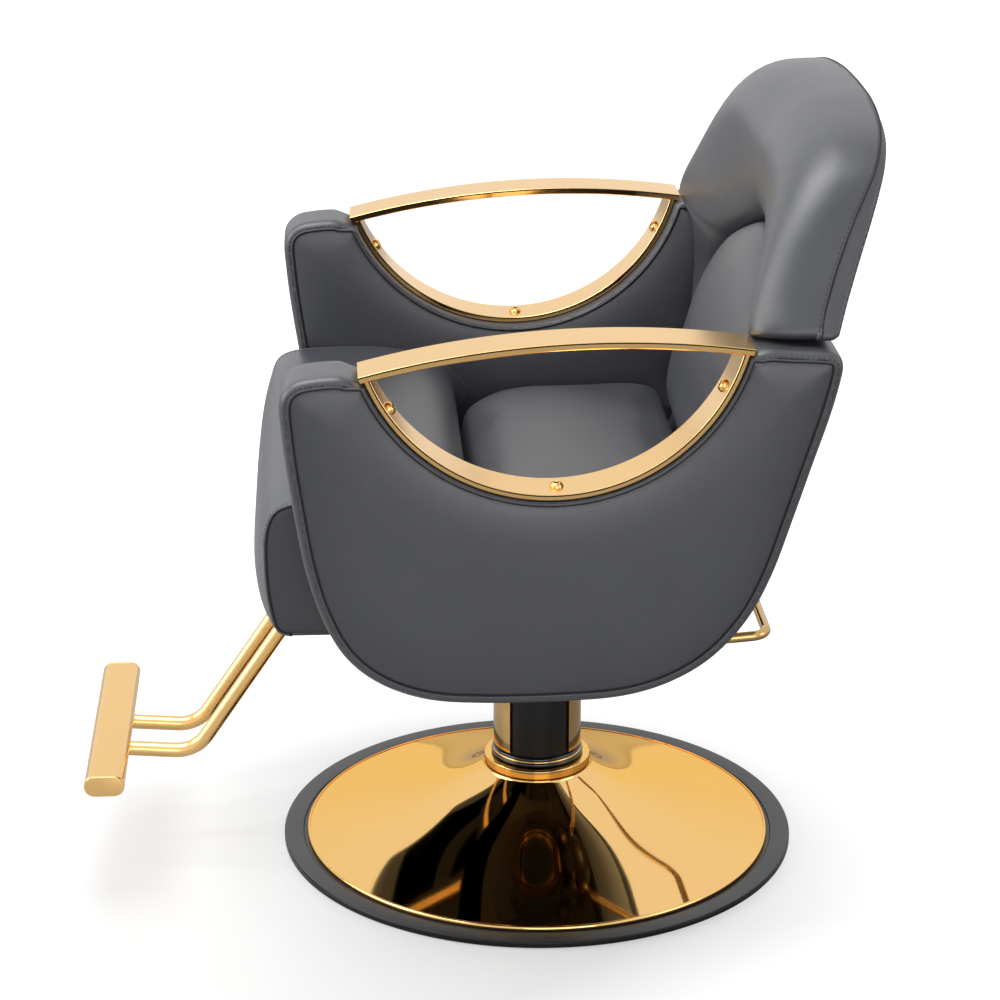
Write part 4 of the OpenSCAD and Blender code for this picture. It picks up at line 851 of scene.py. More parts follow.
class ChairPedal(bpy.types.Operator):
    """Bend the pedal's rod loop and turn its hub"""

    bl_idname = "chair.pedal"
    bl_label = "Pedal"

    def execute(self, context):
        half, low, rear, reach, rod, bend = 70.0, 249.0, 256.0, 241.0, 5.5, 16.0
        pivot_y, pivot_z, nose_half, web_half = 62.0, 298.0, 15.0, 5.2
        nose_y = pivot_y + 20
        weld = (nose_half - rod, nose_y - 3.5, pivot_z)
        corners = [weld, (half, nose_y + half, low), (half, reach, rear)]
        corners += [(-x, y, z) for x, y, z in reversed(corners)]
        # The pedal's gold is drawn darker as painted shade.
        loop = piece("pedal_loop", *tube(bent_path(corners, bend), rod, 24), finish("shaded_gold"), "pedal_arm",
                     "gold_metal", sharp=50)
        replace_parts(loop, "pedal")
        parts = []
        for radius, width, y, bore in ((8.5, 19.0, pivot_y, 5.05), (7.0, nose_half, nose_y, 0.0)):
            line = rounded([(bore, -width), (radius, -width), (radius, width), (bore, width)], 0.8)
            v, f = turned(line, 48)
            parts.append((np.stack([v[:, 2], y + v[:, 0], pivot_z + v[:, 1]], axis=1), f))
        web = [(x, y, pivot_z + z) for x in (-nose_half, nose_half) for y in (pivot_y + web_half, nose_y)
               for z in (-web_half, web_half)]
        box = [(0, 1, 3, 2), (4, 6, 7, 5), (0, 4, 5, 1), (2, 3, 7, 6), (0, 2, 6, 4), (1, 5, 7, 3)]
        parts.append((web, box))
        hub = piece("pedal_hub", *joined(parts), finish("shaded_gold"), "pedal_arm", "gold_metal", sharp=35)
        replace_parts(hub, "pedal")
        return {"FINISHED"}


class ChairFootrest(bpy.types.Operator):
    """Bend the footrest's two rods and draw its flat oval bar with end caps"""

    bl_idname = "chair.footrest"
    bl_label = "Footrest"

    def execute(self, context):
        wide, tall, length = 42.0, 22.5, 301.0
        bar_y, bar_z, rod_x, rod_r, bend, plate_z = -463.0, 136.5, 35.0, 8.0, 38.0, 307.0
        corners = [(rod_x, bar_y + wide / 4, 127), (rod_x, -373, 121), (rod_x, -246, plate_z),
                   (rod_x, -132.5, plate_z)]
        v, f = tube(bent_path(corners, bend), rod_r, 32)
        rods = piece("footrest_bent_rods", *joined([(v, f), (mirrored(v), f)]), finish("satin"), "chair",
                     "gold_metal", sharp=50)
        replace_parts(rods, "footrest_rods")
        off, radius, end = (wide - tall) / 2, tall / 2, length / 2

        def oval_tube(steps):
            rings = []
            for x, inset in steps:
                front = arc((bar_y + off, bar_z), radius - inset, -90, 90, 20)
                rear = arc((bar_y - off, bar_z), radius - inset, 90, 270, 20)
                rings.append(across(x, np.vstack([front, rear])))
            return lofted(rings)

        shell = oval_tube([(-end, 0.5), (-end + 0.5, 0), (end - 0.5, 0), (end, 0.5)])
        bar = piece("footrest_tube", *shell, finish("satin"), "chair", "gold_metal", sharp=35)
        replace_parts(bar, "footrest_bar")
        past_end = [(-2, 2.0), (0.35, 0.9), (0.5, 0.15), (0.9, 0), (2.2, 0), (2.8, 0.35), (3, 1.1)]
        ends = [oval_tube([(side * (end + past), inset) for past, inset in past_end]) for side in (1, -1)]
        caps = piece("footrest_end_caps", *joined(ends), finish("satin"), "chair", "gold_metal", sharp=35)
        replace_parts(caps, "footrest_caps")
        return {"FINISHED"}


def panel_outline():
    """Outer part and scoop of a side panel's outline, as (rearward, up)."""
    outer = curve_through([(PANEL_Y + a * PANEL_D, PANEL_Z + b * PANEL_H) for a, b in PANEL_SHARES], 8)
    radius, rear_fall, front_fall, step = BAND_R + 0.3, 54, 75, 4.0
    start = 360 - math.degrees(math.asin(rear_fall / radius))
    end = 180 + math.degrees(math.asin(front_fall / radius))
    return evenly(outer, step), evenly(arc(BAND_C, radius, start, end, 120), step)


def inset_line(outer, scoop, edge, scoop_edge):
    """The piping's line: set in from the outer part by one distance and from the scoop by another."""
    a = outer - edge * outward(outer, False)
    b = scoop - scoop_edge * outward(scoop, False)
    a = a[nearest(a, scoop)[0] >= scoop_edge - 0.05]
    b = b[nearest(b, outer)[0] >= edge - 0.05]
    a = a[nearest(a, outer)[0] >= edge - 0.3]
    return evenly(np.vstack([a, b]), 3.0, True)


class ChairPanels(bpy.types.Operator):
    """Upholster the two side panels, with piping and stitching round their faces"""

    bl_idname = "chair.panels"
    bl_label = "Side Panels"

    def execute(self, context):
        outer, scoop = panel_outline()
        outline = np.vstack([outer, scoop])
        edge_in, scoop_in = 8.5, 3.9
        seam = inset_line(outer, scoop, edge_in, scoop_in)
        pad = self.pad(outline, seam, context.scene.chair_cushions.panel_crown / MM)
        welt, proud, aside, sunk = context.scene.chair_leather.welt / MM, 0.9, 1.6, 0.25
        beside = evenly(seam - aside * outward(seam), 3.0, True)
        pipes, groove_shadows = [], []
        for x, side in ((PANEL_OUT - proud, 1), (PANEL_IN + proud, -1)):
            pipes.append(tube(across(x, seam), welt, 8, closed=True))
            # A near black tube beside the piping: painted seam shadow.
            groove_shadows.append(tube(across(x - side * sunk, beside), SEAM_SHADOW_R, 6, closed=True))
        trims = [("panel_piping_", joined(pipes), "welt"), ("panel_seam_shadow_", joined(groove_shadows), "seam"),
                 ("panel_stitching_", self.stitch_rows(outer, seam), "thread")]
        for name, sign in (("left", 1), ("right", -1)):
            flip = [sign, 1, 1]
            made = piece("padded_panel_" + name, pad[0] * flip, pad[1], finish("leather"), "chair", "leather")
            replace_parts(made, "side_panel_" + name)
            for label, (v, f), look in trims:
                piece(label + name, v * flip, f, finish(look), "chair", "leather")
        return {"FINISHED"}

    def pad(self, outline, seam, crown):
        """The panel's outer and inner faces with the edge strip between them."""
        plan, faces = self.faces(outline, seam)
        depth = self.depth(plan, outline, seam, crown)
        count, n = len(plan), len(outline)
        verts = [across(PANEL_OUT + depth, plan), across(PANEL_IN - depth, plan)]
        faces = faces + [tuple(i + count for i in f)[::-1] for f in faces]
        rows = [list(range(n))]
        for k, x in enumerate(np.linspace(PANEL_OUT - PANEL_R, PANEL_IN + PANEL_R, 7)[1:-1]):
            rows.append(list(range(2 * count + k * n, 2 * count + (k + 1) * n)))
            verts.append(across(x, outline))
        rows.append(list(range(count, count + n)))
        for a, b in zip(rows, rows[1:]):
            faces += [(a[i], b[i], b[(i + 1) % n], a[(i + 1) % n]) for i in range(n)]
        return np.vstack(verts), faces

    def depth(self, plan, outline, seam, crown):
        """How far each point stands out past the panel's flat: round to the seam, then crowned."""
        to_edge, _ = nearest(plan, outline, True)
        to_seam, _ = nearest(plan, seam, True)
        pull, pull_w, crown_w, sunk = 1.8, 1.6, 20, 2.0
        share = to_edge / np.maximum(to_edge + to_seam, 1e-6)
        edge = -PANEL_R * (1 - np.sqrt(1 - (1 - share) ** 2)) - 0.8 * share**6
        face = crown * (1 - np.exp(-to_seam / crown_w)) - pull * np.exp(-to_seam / pull_w) - sunk
        return np.where(inside(plan, seam), face, edge)

    def faces(self, outline, seam):
        """Points and triangles over the panel's face, with rows that follow its edge and piping."""
        _, to = nearest(outline, seam, True)
        rows = [outline + u * (to - outline) for u in (0.06, 0.16, 0.32, 0.52, 0.74, 0.9)]
        for d in (0.9, 1.9, 3.4, 6.0, 10.0, 15.0):
            line = evenly(seam - d * outward(seam), 3.0 + d / 5, True)
            rows.append(line[(nearest(line, seam, True)[0] > d * 0.93) & inside(line, seam)])
        lo, hi = seam.min(0), seam.max(0)
        step, clear = 8.0, 19
        ys, zs = np.arange(lo[0], hi[0], step), np.arange(lo[1], hi[1], step * 0.866)
        grid = np.array([(y + (k % 2) * step / 2, z) for k, z in enumerate(zs) for y in ys])
        grid = grid[inside(grid, seam)]
        rows.append(grid[nearest(grid, seam, True)[0] > clear])
        return filled(outline, seam, rows)

    def stitch_rows(self, outer, seam):
        """Stitches on the rounded edge beside the piping, over the panel's front and rear top."""
        parts = []
        _, to = nearest(outer, seam, True)
        share = 0.62
        round_off = math.sqrt(1 - (1 - share) ** 2)
        place = outer + share * (to - outer)
        tilt = outward(outer, False) * (1 - share)
        for low, front in ((566, True), (600, False)):
            use = (outer[:, 1] > low) & ((outer[:, 0] < 0) == front)
            for face, side in ((PANEL_OUT, 1), (PANEL_IN, -1)):
                path = across(face - side * PANEL_R * (1 - round_off), place[use])
                parts.append(stitches(path, across(side * round_off, tilt[use])))
        return joined(parts)


class ChairArms(bpy.types.Operator):
    """Draw the arched armrest bars, the curved bands under them and their dome-headed screws"""

    bl_idname = "chair.arms"
    bl_label = "Armrests"

    def execute(self, context):
        bar = self.curved(BAR_T, ARCH_C, ARCH_R, -1, BAND_C, BAND_R + BAR_TIP, 120)
        band = self.curved(BAND_T, BAND_C, BAND_R - BAND_T, 1, ARCH_C, ARCH_R - BAR_T, 140)
        verts, faces, socket_shade = self.screws()
        for name, sign in (("left", 1), ("right", -1)):
            flip = [sign, 1, 1]
            for label, (v, f, shaded_groove, shaded_flank), node in (("arm_arch_", bar, "arm_bar_"),
                                                       ("arm_curve_", band, "arm_band_")):
                made = piece(label + name, v * flip, f, [finish("satin"), finish("recess_shade"), finish("shaded_gold")],
                             "chair", "gold_metal", sharp=28, seconds=shaded_groove, thirds=shaded_flank)
                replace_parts(made, node + name)
            heads = piece("arm_dome_screws_" + name, verts * flip, faces,
                          [finish("polished"), finish("recess_shade")], "chair", "gold_metal", sharp=32,
                          seconds=socket_shade)
            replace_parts(heads, "arm_screws_" + name)
        return {"FINISHED"}

    def section(self, thick):
        """Half widths and depths round the bar's section, with a narrow groove near its show face."""
        half, bevel, lip, groove_w, groove_d, chamfer = ARM_W / 2, 0.3, 0.6, 1.3, 1.3, 1.0
        side = [(half - bevel, 0), (half, bevel), (half, lip), (half - groove_d, lip),
                (half - groove_d, lip + groove_w), (half, lip + groove_w), (half, thick - chamfer),
                (half - chamfer, thick)]
        return side + [(-x, d) for x, d in reversed(side)]

    def curved(self, thick, centre, radius, way, cutter, cut, steps):
        """A bar bent to an arc, its ends cut by another circle so that they come to a point. The faces of the
        groove, drawn near black as painted shade, and of the flanks below it, drawn darker as painted shade,
        are listed too."""
        aside, up = cutter[0] - centre[0], cutter[1] - centre[1]
        gap, toward = math.hypot(aside, up), math.degrees(math.atan2(up, aside))
        spans = []
        for x, d in self.section(thick):
            r = radius + way * d
            reach = math.degrees(math.acos((gap * gap + r * r - cut * cut) / (2 * gap * r)))
            spans.append((x, r, toward - reach, toward + reach))
        rings = []
        for k in range(steps + 1):
            ring = []
            for x, r, start, end in spans:
                w = math.radians(start + (end - start) * (k / steps))
                ring.append((ARM_X + x, centre[0] + r * math.cos(w), centre[1] + r * math.sin(w)))
            rings.append(ring)
        verts, faces = lofted(rings)
        n = len(spans)
        along = range(len(faces) - 2)
        shaded_groove = [k for k in along if k % n in (2, 3, 4, n - 6, n - 5, n - 4)]
        shaded_flank = [k for k in along if k % n in (5, n - 7)]
        return verts, faces, shaded_groove, shaded_flank

    def screws(self):
        """Domed heads with a hexagon socket, on the band's inner face. The socket's faces are listed too;
        they are drawn near black as painted shade.
        """
        sides, side = 36, np.array([1.0, 0, 0])
        turn = np.radians(np.arange(sides) * 10)
        corner = math.cos(math.radians(30)) / np.cos(np.radians(np.arange(sides) * 10 % 60 - 30))
        profile = [(0.01, 1.6, 0), (2.7, 1.6, 1), (2.8, 4.1, 1), (3.2, 4.4, 0), (4.4, 4.0, 0), (5.6, 3.1, 0),
                   (6.5, 1.8, 0), (6.9, 0.6, 0), (6.9, -0.2, 0)]
        parts = []
        for angle in (214, 271.5, 332):
            a = math.radians(angle)
            out = np.array([0, math.cos(a), math.sin(a)])
            along = np.array([0, -math.sin(a), math.cos(a)])
            seat = np.array([ARM_X, *BAND_C]) + (BAND_R - BAND_T) * out
            rings = []
            for r, height, hexed in profile:
                reach = r * (corner if hexed else np.ones(sides))
                around = (reach * np.cos(turn))[:, None] * side + (reach * np.sin(turn))[:, None] * along
                rings.append(seat - out * height + around)
            parts.append(lofted(rings, caps=False))
        verts, faces = joined(parts)
        each = len(faces) // len(parts)
        return verts, faces, [k for k in range(len(faces)) if k % each < 2 * sides]


def roll_profile(count=150):
    """Points round the front roll's side seam with their outward direction and share of the swell."""
    line = curve_through([(ROLL_Y + a * ROLL_D, SEAT_Z + b * ROLL_H) for a, b in ROLL_SHARES], 10)
    share = eased(ROLL_SWELL, 10)
    s = np.concatenate([[0], np.cumsum(np.linalg.norm(np.diff(line, axis=0), axis=1))])
    at = np.linspace(0, s[-1], count)
    p = np.stack([np.interp(at, s, line[:, k]) for k in (0, 1)], axis=1)
    reach, drop = 52.0, 40.0
    p = rounded_rear(p, ROLL_Y + ROLL_D, reach, drop)
    return p, -outward(p, False), np.interp(at, s, share)


def rounded_rear(profile, stop, reach, drop):
    """The roll's profile with nothing behind `stop` over the board, its top sinking in a round to there."""
    floor = SEAT_Z + BOARD_T
    made = profile.copy()
    high = made[:, 1] > floor
    bend = np.clip((made[high, 0] - stop + reach) / reach, 0, 1)
    sunk = drop * (1 - np.sqrt(1 - bend**2)) / (made[:, 1].max() - floor)
    made[high, 0] = np.minimum(made[high, 0], stop)
    made[high, 1] = floor + (made[high, 1] - floor) * (1 - sunk)
    return made


class ChairRoll(bpy.types.Operator):
    """Upholster the front roll, with piping and stitching at its ends"""

    bl_idname = "chair.roll"
    bl_label = "Front Roll"

    def execute(self, context):
        line, out, share = roll_profile()
        crown = context.scene.chair_cushions.roll_crown / MM

        def swell(x):
            return crown * (1 - (abs(x) / ROLL_HALF) ** 5)

        stations = np.concatenate([[0, 0.25, 0.55, 0.8], np.linspace(1.2, 3.5, 4),
                                   np.linspace(6, ROLL_HALF, 26)])
        half = ROLL_HALF - stations
        xs = np.concatenate([-half, half[::-1][1:]])
        rings = []
        for x in xs:
            near = ROLL_HALF - abs(x)
            tuck = 1.7 * math.exp(-near) if near < 6 else 0
            rings.append(across(x, self.beside_pad(x, line + out * (swell(x) * share - tuck)[:, None])))
        verts, faces = lofted(rings, caps=False)
        extra, caps = self.caps(line, out, len(verts), (len(xs) - 1) * len(line))
        # The end caps take the darker side leather as painted shade.
        roll = piece("front_bolster", np.vstack([verts, *extra]), faces + caps,
                     [finish("leather"), finish("side")], "chair", "leather",
                     seconds=range(len(faces), len(faces) + len(caps)))
        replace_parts(roll, "front_roll")
        welt, at = context.scene.chair_leather.welt / MM, ROLL_HALF - 4.2
        sewn_above, sewn_ahead = 436, -60
        use = (line[:, 1] > sewn_above) & (line[:, 0] < sewn_ahead)
        row = line[use] + out[use] * (swell(at) * share[use])[:, None]
        pipes, seams, rows = [], [], []
        for side in (-1, 1):
            pipes.append(tube(across(side * (ROLL_HALF - 0.8), line - out), welt, 8))
            # A near black tube inside the piping: painted seam shadow.
            seams.append(tube(across(side * (ROLL_HALF - 0.9), line - 2.6 * out), SEAM_SHADOW_R, 6))
            rows.append(stitches(across(side * at, row), across(0, out[use])))
        piece("bolster_piping", *joined(pipes), finish("welt"), "chair", "leather")
        piece("bolster_seam_shadow", *joined(seams), finish("seam"), "chair", "leather")
        piece("bolster_stitching", *joined(rows), finish("thread"), "chair", "leather")
        return {"FINISHED"}

    def caps(self, line, out, start, last):
        """Points and faces that close both ends, sunk a little inside the piping. They take a darker leather
        as painted shade.
        """
        count = len(line)
        extra, caps = [], []
        for side, base in ((-1, 0), (1, last)):
            ring = [base + i for i in range(count)]
            for inset, depth in ((2.6, 1.6), (4.5, 0.3), (8.0, -0.6)):
                now = [start + i for i in range(count)]
                caps += [(ring[i], ring[(i + 1) % count], now[(i + 1) % count], now[i]) for i in range(count)]
                extra.append(across(side * (ROLL_HALF - depth), line - out * inset))
                ring, start = now, start + count
            caps.append(tuple(ring))
        return extra, caps

    def beside_pad(self, x, profile):
        """The profile cut back to where the seat pad's front lies against it."""
        over = max(abs(x) - (PAD_HALF - PAD_CORNER), 0)
        if over >= PAD_CORNER:
            return profile
        gap, reach, drop, fade = 0.5, 46.0, 30.0, 20
        stop = PAD_CORNER - PAD_FRONT - math.sqrt(PAD_CORNER**2 - over**2) - gap
        return rounded_rear(profile, stop, reach, drop * min(1, (PAD_CORNER - over) / fade))


class ChairSeat(bpy.types.Operator):
    """Fill the seat pad as a sewn cover swelling over its foam"""

    bl_idname = "chair.seat"
    bl_label = "Seat Pad"

    def execute(self, context):
        fill = context.scene.chair_cushions
        crown, side_h, low = fill.seat_crown / MM, 62.0, SEAT_Z + BOARD_T + 0.4
        front_r, rear_r, fullest, held_h = 92.0, 22.0, 42, 14
        base = self.plan(front_r, rear_r)
        rings = [(share, low + rise) for share, rise in
                 ((0.9, 0), (0.96, 7), (0.99, 18), (1, 34), (0.997, 46), (0.985, 57))]
        for share in (0.978, 0.963, 0.94, 0.905, 0.86, 0.8, 0.72, 0.62, 0.5, 0.36, 0.2, 0.06):
            rings.append((share, low + side_h + crown * (1 - share**4) ** 0.42))
        made = []
        for share, z in rings:
            centre = (PAD_REAR - PAD_FRONT) / 2 if z < low + side_h else PAD_REAR - fullest
            flat = base.copy()
            flat[:, 0] *= share
            flat[:, 1] = centre + (flat[:, 1] - centre) * share
            made.append(np.column_stack([flat, np.full(len(flat), z)]))
        pad = piece("seat_cushion", *lofted(made), finish("leather"), "chair", "leather")
        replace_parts(pad, "seat_pad")
        swell_as_cloth(pad, fill.seat_swell, lambda points: points[:, 2] < low + held_h)
        soften(pad, 14)
        refine(pad)
        return {"FINISHED"}

    def plan(self, front_r, rear_r, count=16):
        """The pad's outline from above, with its front and rear corner radii."""
        rear_y, front_y = PAD_REAR - rear_r, front_r - PAD_FRONT
        corners = [(1, rear_y, rear_r, 0), (-1, rear_y, rear_r, 90), (-1, front_y, front_r, 180),
                   (1, front_y, front_r, 270)]
        out = [arc((side * (PAD_HALF - r), y), r, start, start + 90, count + 1)
               for side, y, r, start in corners]
        return evenly(np.vstack(out), 9.0, True)


def back_line(shares, steps):
    """A line over the back through the given shares of its half width and height."""
    return both_halves(curve_through([(a * BACK_HALF, b * BACK_H) for a, b in shares], steps))


def arch_thickness(across_share, crest):
    """Share of the pad's thickness across it: a long slope to the crest, then a rounded edge."""
    slope, edge = 0.5, 2.6
    past = np.clip(across_share - crest, 0, 1) / (1 - crest)
    return np.where(across_share < crest, (across_share / crest) ** slope,
                    np.clip(1 - past**edge, 0, 1) ** (1 / edge))


class ChairBack(bpy.types.Operator):
    """Upholster the back: board, arched pad and lumbar cushion"""

    bl_idname = "chair.back"
    bl_label = "Back"

    def execute(self, context):
        welt = context.scene.chair_leather.welt / MM
        self.board(welt)
        edge, seam = back_line(BOARD_SHARES, 16), both_halves(eased(EDGE_SEAM, 16))
        self.arch(edge, seam)
        self.edge_seam(edge, seam)
        self.lumbar(context.scene.chair_cushions.lumbar_crown / MM)
        return {"FINISHED"}

    def arch(self, edge, seam):
        """The arched pad: rings across it from its inner line to the board's edge, from foot to foot."""
        inner, outer = back_line(ARCH_IN, 6), back_line(ARCH_OUT, 6)
        rise, crest = both_halves(eased(ARCH_RISE, 6)), both_halves(eased(ARCH_CREST, 6))
        full, gap = 64, 0.3
        shares = np.concatenate([[0, 0.006, 0.02, 0.05], np.linspace(0.1, 0.8, 12),
                                 [0.84, 0.87, 0.9, 0.925, 0.95, 0.97, 0.985, 0.995, 1]])
        spots = np.array([np.linalg.norm(edge - place, axis=1).argmin() for place in outer], dtype=float)
        spots = smoothed(np.maximum.accumulate(spots), 6)
        reached = [self.at_edge(place, spot, edge, seam) for place, spot in zip(outer, spots)]
        calm = smoothed(np.array([foot for _, foot, _ in reached]), 60)
        rings = []
        for i, (way, foot, low) in enumerate(reached):
            toward = calm[i] + (shares**5)[:, None] * (foot - calm[i])
            p = inner[i] + shares[:, None] * (toward - inner[i])
            t = BACK_T + gap + full * rise[i] * arch_thickness(shares, crest[i])
            side = np.linspace(BACK_T, low, 5)[1:]
            p = np.vstack([p, np.tile(foot, (4, 1)), foot - 2.0 * way])
            rings.append(on_back(p[:, 0], p[:, 1], np.concatenate([t, side, [low]])))
        pad = piece("arched_pad", *lofted(rings), finish("leather"), "chair", "leather")
        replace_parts(pad, "arch_pad")

    def at_edge(self, place, spot, edge, seam):
        """For a place on the pad's outer line and its spot along the board's edge: the outward direction, the
        place moved out to that edge, and the seam's distance ahead of the board's rear face."""
        steps = np.arange(len(edge))
        on_edge = np.array([np.interp(spot, steps, edge[:, 0]), np.interp(spot, steps, edge[:, 1])])
        k = min(max(int(spot), 1), len(edge) - 3)
        way = outward(edge[k - 1:k + 3], False).mean(0)
        way /= np.linalg.norm(way)
        foot_h, rise_h = 6, 24
        share = min(max((place[1] - foot_h) / rise_h, 0), 1)
        share = share * share * (3 - 2 * share)
        foot = place + share * (on_edge + 0.4 * way - place)
        return way, foot, BACK_T + share * (np.interp(spot, steps, seam) - BACK_T)

    def board(self, welt):
        """The upholstered board behind the pads, its edge strip rounded and its rear face piped."""
        upper = back_line(BOARD_SHARES, 8)
        tail = PANEL_IN - 0.7
        line = np.vstack([[(-tail, -BACK_DROP), (tail, -BACK_DROP), (tail, 3.4)], upper, [(-tail, 3.4)]])
        line = np.vstack([evenly([a, b], 7.0)[:-1] for a, b in zip(line, np.roll(line, -1, axis=0))])
        seam = evenly(line - 10 * outward(line), 6.0, True)
        seam = seam[nearest(seam, line, True)[0] > 9.4]
        extra = []
        for d in (2.0, 5.0, 8.0):
            row = evenly(line - d * outward(line), 7.0, True)
            extra.append(row[nearest(row, line, True)[0] > d * 0.9])
        lo, hi = seam.min(0), seam.max(0)
        step, clear = 12.0, 7
        xs, ups = np.arange(lo[0], hi[0], step), np.arange(lo[1], hi[1], step)
        grid = np.array([(x, s) for s in ups for x in xs])
        grid = grid[inside(grid, seam)]
        extra.append(grid[nearest(grid, seam, True)[0] > clear])
        plan, tris = filled(line, seam, extra)
        edge, _ = nearest(plan, line, True)
        pipe, _ = nearest(plan, seam, True)
        r, pull, pull_w = 5.0, 0.9, 1.6
        lift = np.where(edge < r, r - np.sqrt(np.clip(r * r - (r - edge) ** 2, 0, None)), 0)
        lift += pull * np.exp(-pipe / pull_w)
        count, n = len(plan), len(line)
        verts, rows = [on_back(plan[:, 0], plan[:, 1], lift)], [list(range(n))]
        for k, (t, inset) in enumerate(((9.0, 0), (13.0, 0), (17.0, 0), (20.5, 0.5), (BACK_T, 1.6))):
            ring = line - inset * outward(line)
            rows.append(list(range(count + k * n, count + (k + 1) * n)))
            verts.append(on_back(ring[:, 0], ring[:, 1], t))
        faces = list(tris)
        for a, b in zip(rows, rows[1:]):
            faces += [(a[i], a[(i + 1) % n], b[(i + 1) % n], b[i]) for i in range(n)]
        base, last = sum(len(v) for v in verts), rows[-1]
        verts.append(on_back(plan[n:, 0], plan[n:, 1], BACK_T))
        faces += [tuple((last[i] if i < n else base + i - n) for i in t)[::-1] for t in tris]
        board = piece("back_shell", np.vstack(verts), faces, finish("leather"), "chair", "leather", sharp=70)
        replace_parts(board, "back_board")
        pipe = tube(on_back(seam[:, 0], seam[:, 1], 0.4), welt, 8, closed=True)
        piece("back_piping", *pipe, finish("welt"), "chair", "leather")

    def edge_seam(self, edge, seam):
        """A near black tube as painted seam shadow, and stitches, where the pad's cover meets the edge strip
        of the board.
        """
        foot_h, sewn_past = 12, 70
        use = edge[:, 1] > foot_h
        line, out, depth = edge[use], outward(edge, False)[use], seam[use]
        path = line + 0.15 * out
        shaded_groove = tube(on_back(path[:, 0], path[:, 1], depth - 0.3), SEAM_SHADOW_R, 6)
        piece("back_edge_seam_shadow", *shaded_groove, finish("seam"), "chair", "leather")
        path = line + 0.42 * out
        rows = on_back(path[:, 0], path[:, 1], depth + 2.6)
        normals = np.column_stack([out[:, 0], np.zeros(len(out)), out[:, 1]])
        for label, part in (("left", line[:, 0] > sewn_past), ("right", line[:, 0] < -sewn_past)):
            piece("back_stitching_" + label, *stitches(rows[part], normals[part]), finish("thread"), "chair",
                  "leather")

    def lumbar(self, crown):
        """The crowned cushion in front of the board."""
        half = np.array([(a * LUMBAR_HALF, b * BACK_H) for a, b in LUMBAR_SHARES])
        line = curve_through(np.vstack([half, half[-2:0:-1] * [-1, 1]]), 4, True)
        middle = np.array([0, -0.5 * BACK_H])
        base, side = BACK_T + 0.4, 11.7
        rings = [on_back(line[:, 0], line[:, 1], base)]
        for share in (1, 0.997, 0.985, 0.965, 0.935, 0.895, 0.84, 0.76, 0.66, 0.54, 0.4, 0.25, 0.1):
            p = middle + share * (line - middle)
            rings.append(on_back(p[:, 0], p[:, 1], base + side + crown * (1 - share**2.6) ** (1 / 2.2)))
        pad = piece("lumbar_pad", *lofted(rings), finish("leather"), "chair", "leather")
        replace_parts(pad, "lumbar_cushion")
        refine(pad)


class ChairRear(bpy.types.Operator):
    """Upholster the lower rear cover between the side panels"""

    bl_idname = "chair.rear"
    bl_label = "Rear Cover"

    def execute(self, context):
        points = [(PANEL_Y + a * PANEL_D, PANEL_Z + b * PANEL_H) for a, b in REAR_SHARES]
        line = evenly(curve_through(points, 8), 5.0)
        inward = -outward(line, False)
        half, puffed, face_in, back_in = PANEL_IN - 0.7, 2.2, 7, 15
        ends = np.array([0, 0.8, 3, 8])
        xs = np.concatenate([ends - half, np.linspace(25 - half, half - 25, 16), half - ends[::-1]])
        swell = np.sin(np.pi * np.linspace(0, 1, len(line))) ** 0.5
        rings = []
        for x in xs:
            near = half - abs(x)
            lift = puffed * min(1, near / 40) ** 0.5 * swell - 2.5 * (1 - min(1, near / 3)) ** 2
            face = line + inward * (face_in - lift)[:, None]
            back = line[::-1] + inward[::-1] * back_in
            rings.append(across(x, np.vstack([face, back])))
        cover = piece("lower_rear_cover", *lofted(rings), finish("leather"), "chair", "leather", sharp=60)
        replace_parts(cover, "rear_panel")
        rows, count = [], 120
        for k in (1, len(line) - 2):
            place = np.tile(line[k] + inward[k] * 5.8, (count, 1))
            path = across(np.linspace(6 - half, half - 6, count), place)
            rows.append(stitches(path, across(0, np.tile(-inward[k], (count, 1)))))
        piece("rear_cover_stitching", *joined(rows), finish("thread"), "chair", "leather")
        return {"FINISHED"}


class ChairFrame(bpy.types.Operator):
    """Give the parts of the solid model that stay in view their finishes"""

    bl_idname = "chair.frame"
    bl_label = "Frame Finishes"

    def execute(self, context):
        wanted = {
            "rubber": ["foot_ring"],
            "black": ["pump_head", "side_rails", "cross_rails", "footrest_plate", "barrel"],
            "steel": ["barrel_bolts", "ram", "piston", "bearing_ring", "pedal_pin", "plunger_spring",
                      "back_studs", "plunger"],
            "oxide": ["head_bolts", "top_plate", "plate_bolts", "side_bolts_left", "side_bolts_right",
                      "footrest_bolts"],
            "stained": ["seat_board"],
            "bronze": ["gland_bush"],
            "polished": ["sleeve_screws"],
            "plywood": ["side_board_left", "side_board_right"],
            "leather": ["front_roll", "seat_pad", "side_panel_left", "side_panel_right", "back_board",
                        "arch_pad", "lumbar_cushion", "rear_panel"],
            "satin": ["arm_bar_left", "arm_bar_right", "arm_band_left", "arm_band_right", "arm_screws_left",
                      "arm_screws_right", "footrest_rods", "footrest_bar", "footrest_caps", "pedal",
                      "base_cover", "collar_ring", "seal_trim", "pump_sleeve"],
            "rim": ["base_plate"],
            "lip": ["dust_seal"],
        }
        for name, nodes in wanted.items():
            for n in nodes:
                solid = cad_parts[n]
                solid.data.materials.clear()
                solid.data.materials.append(finish(name))
        return {"FINISHED"}


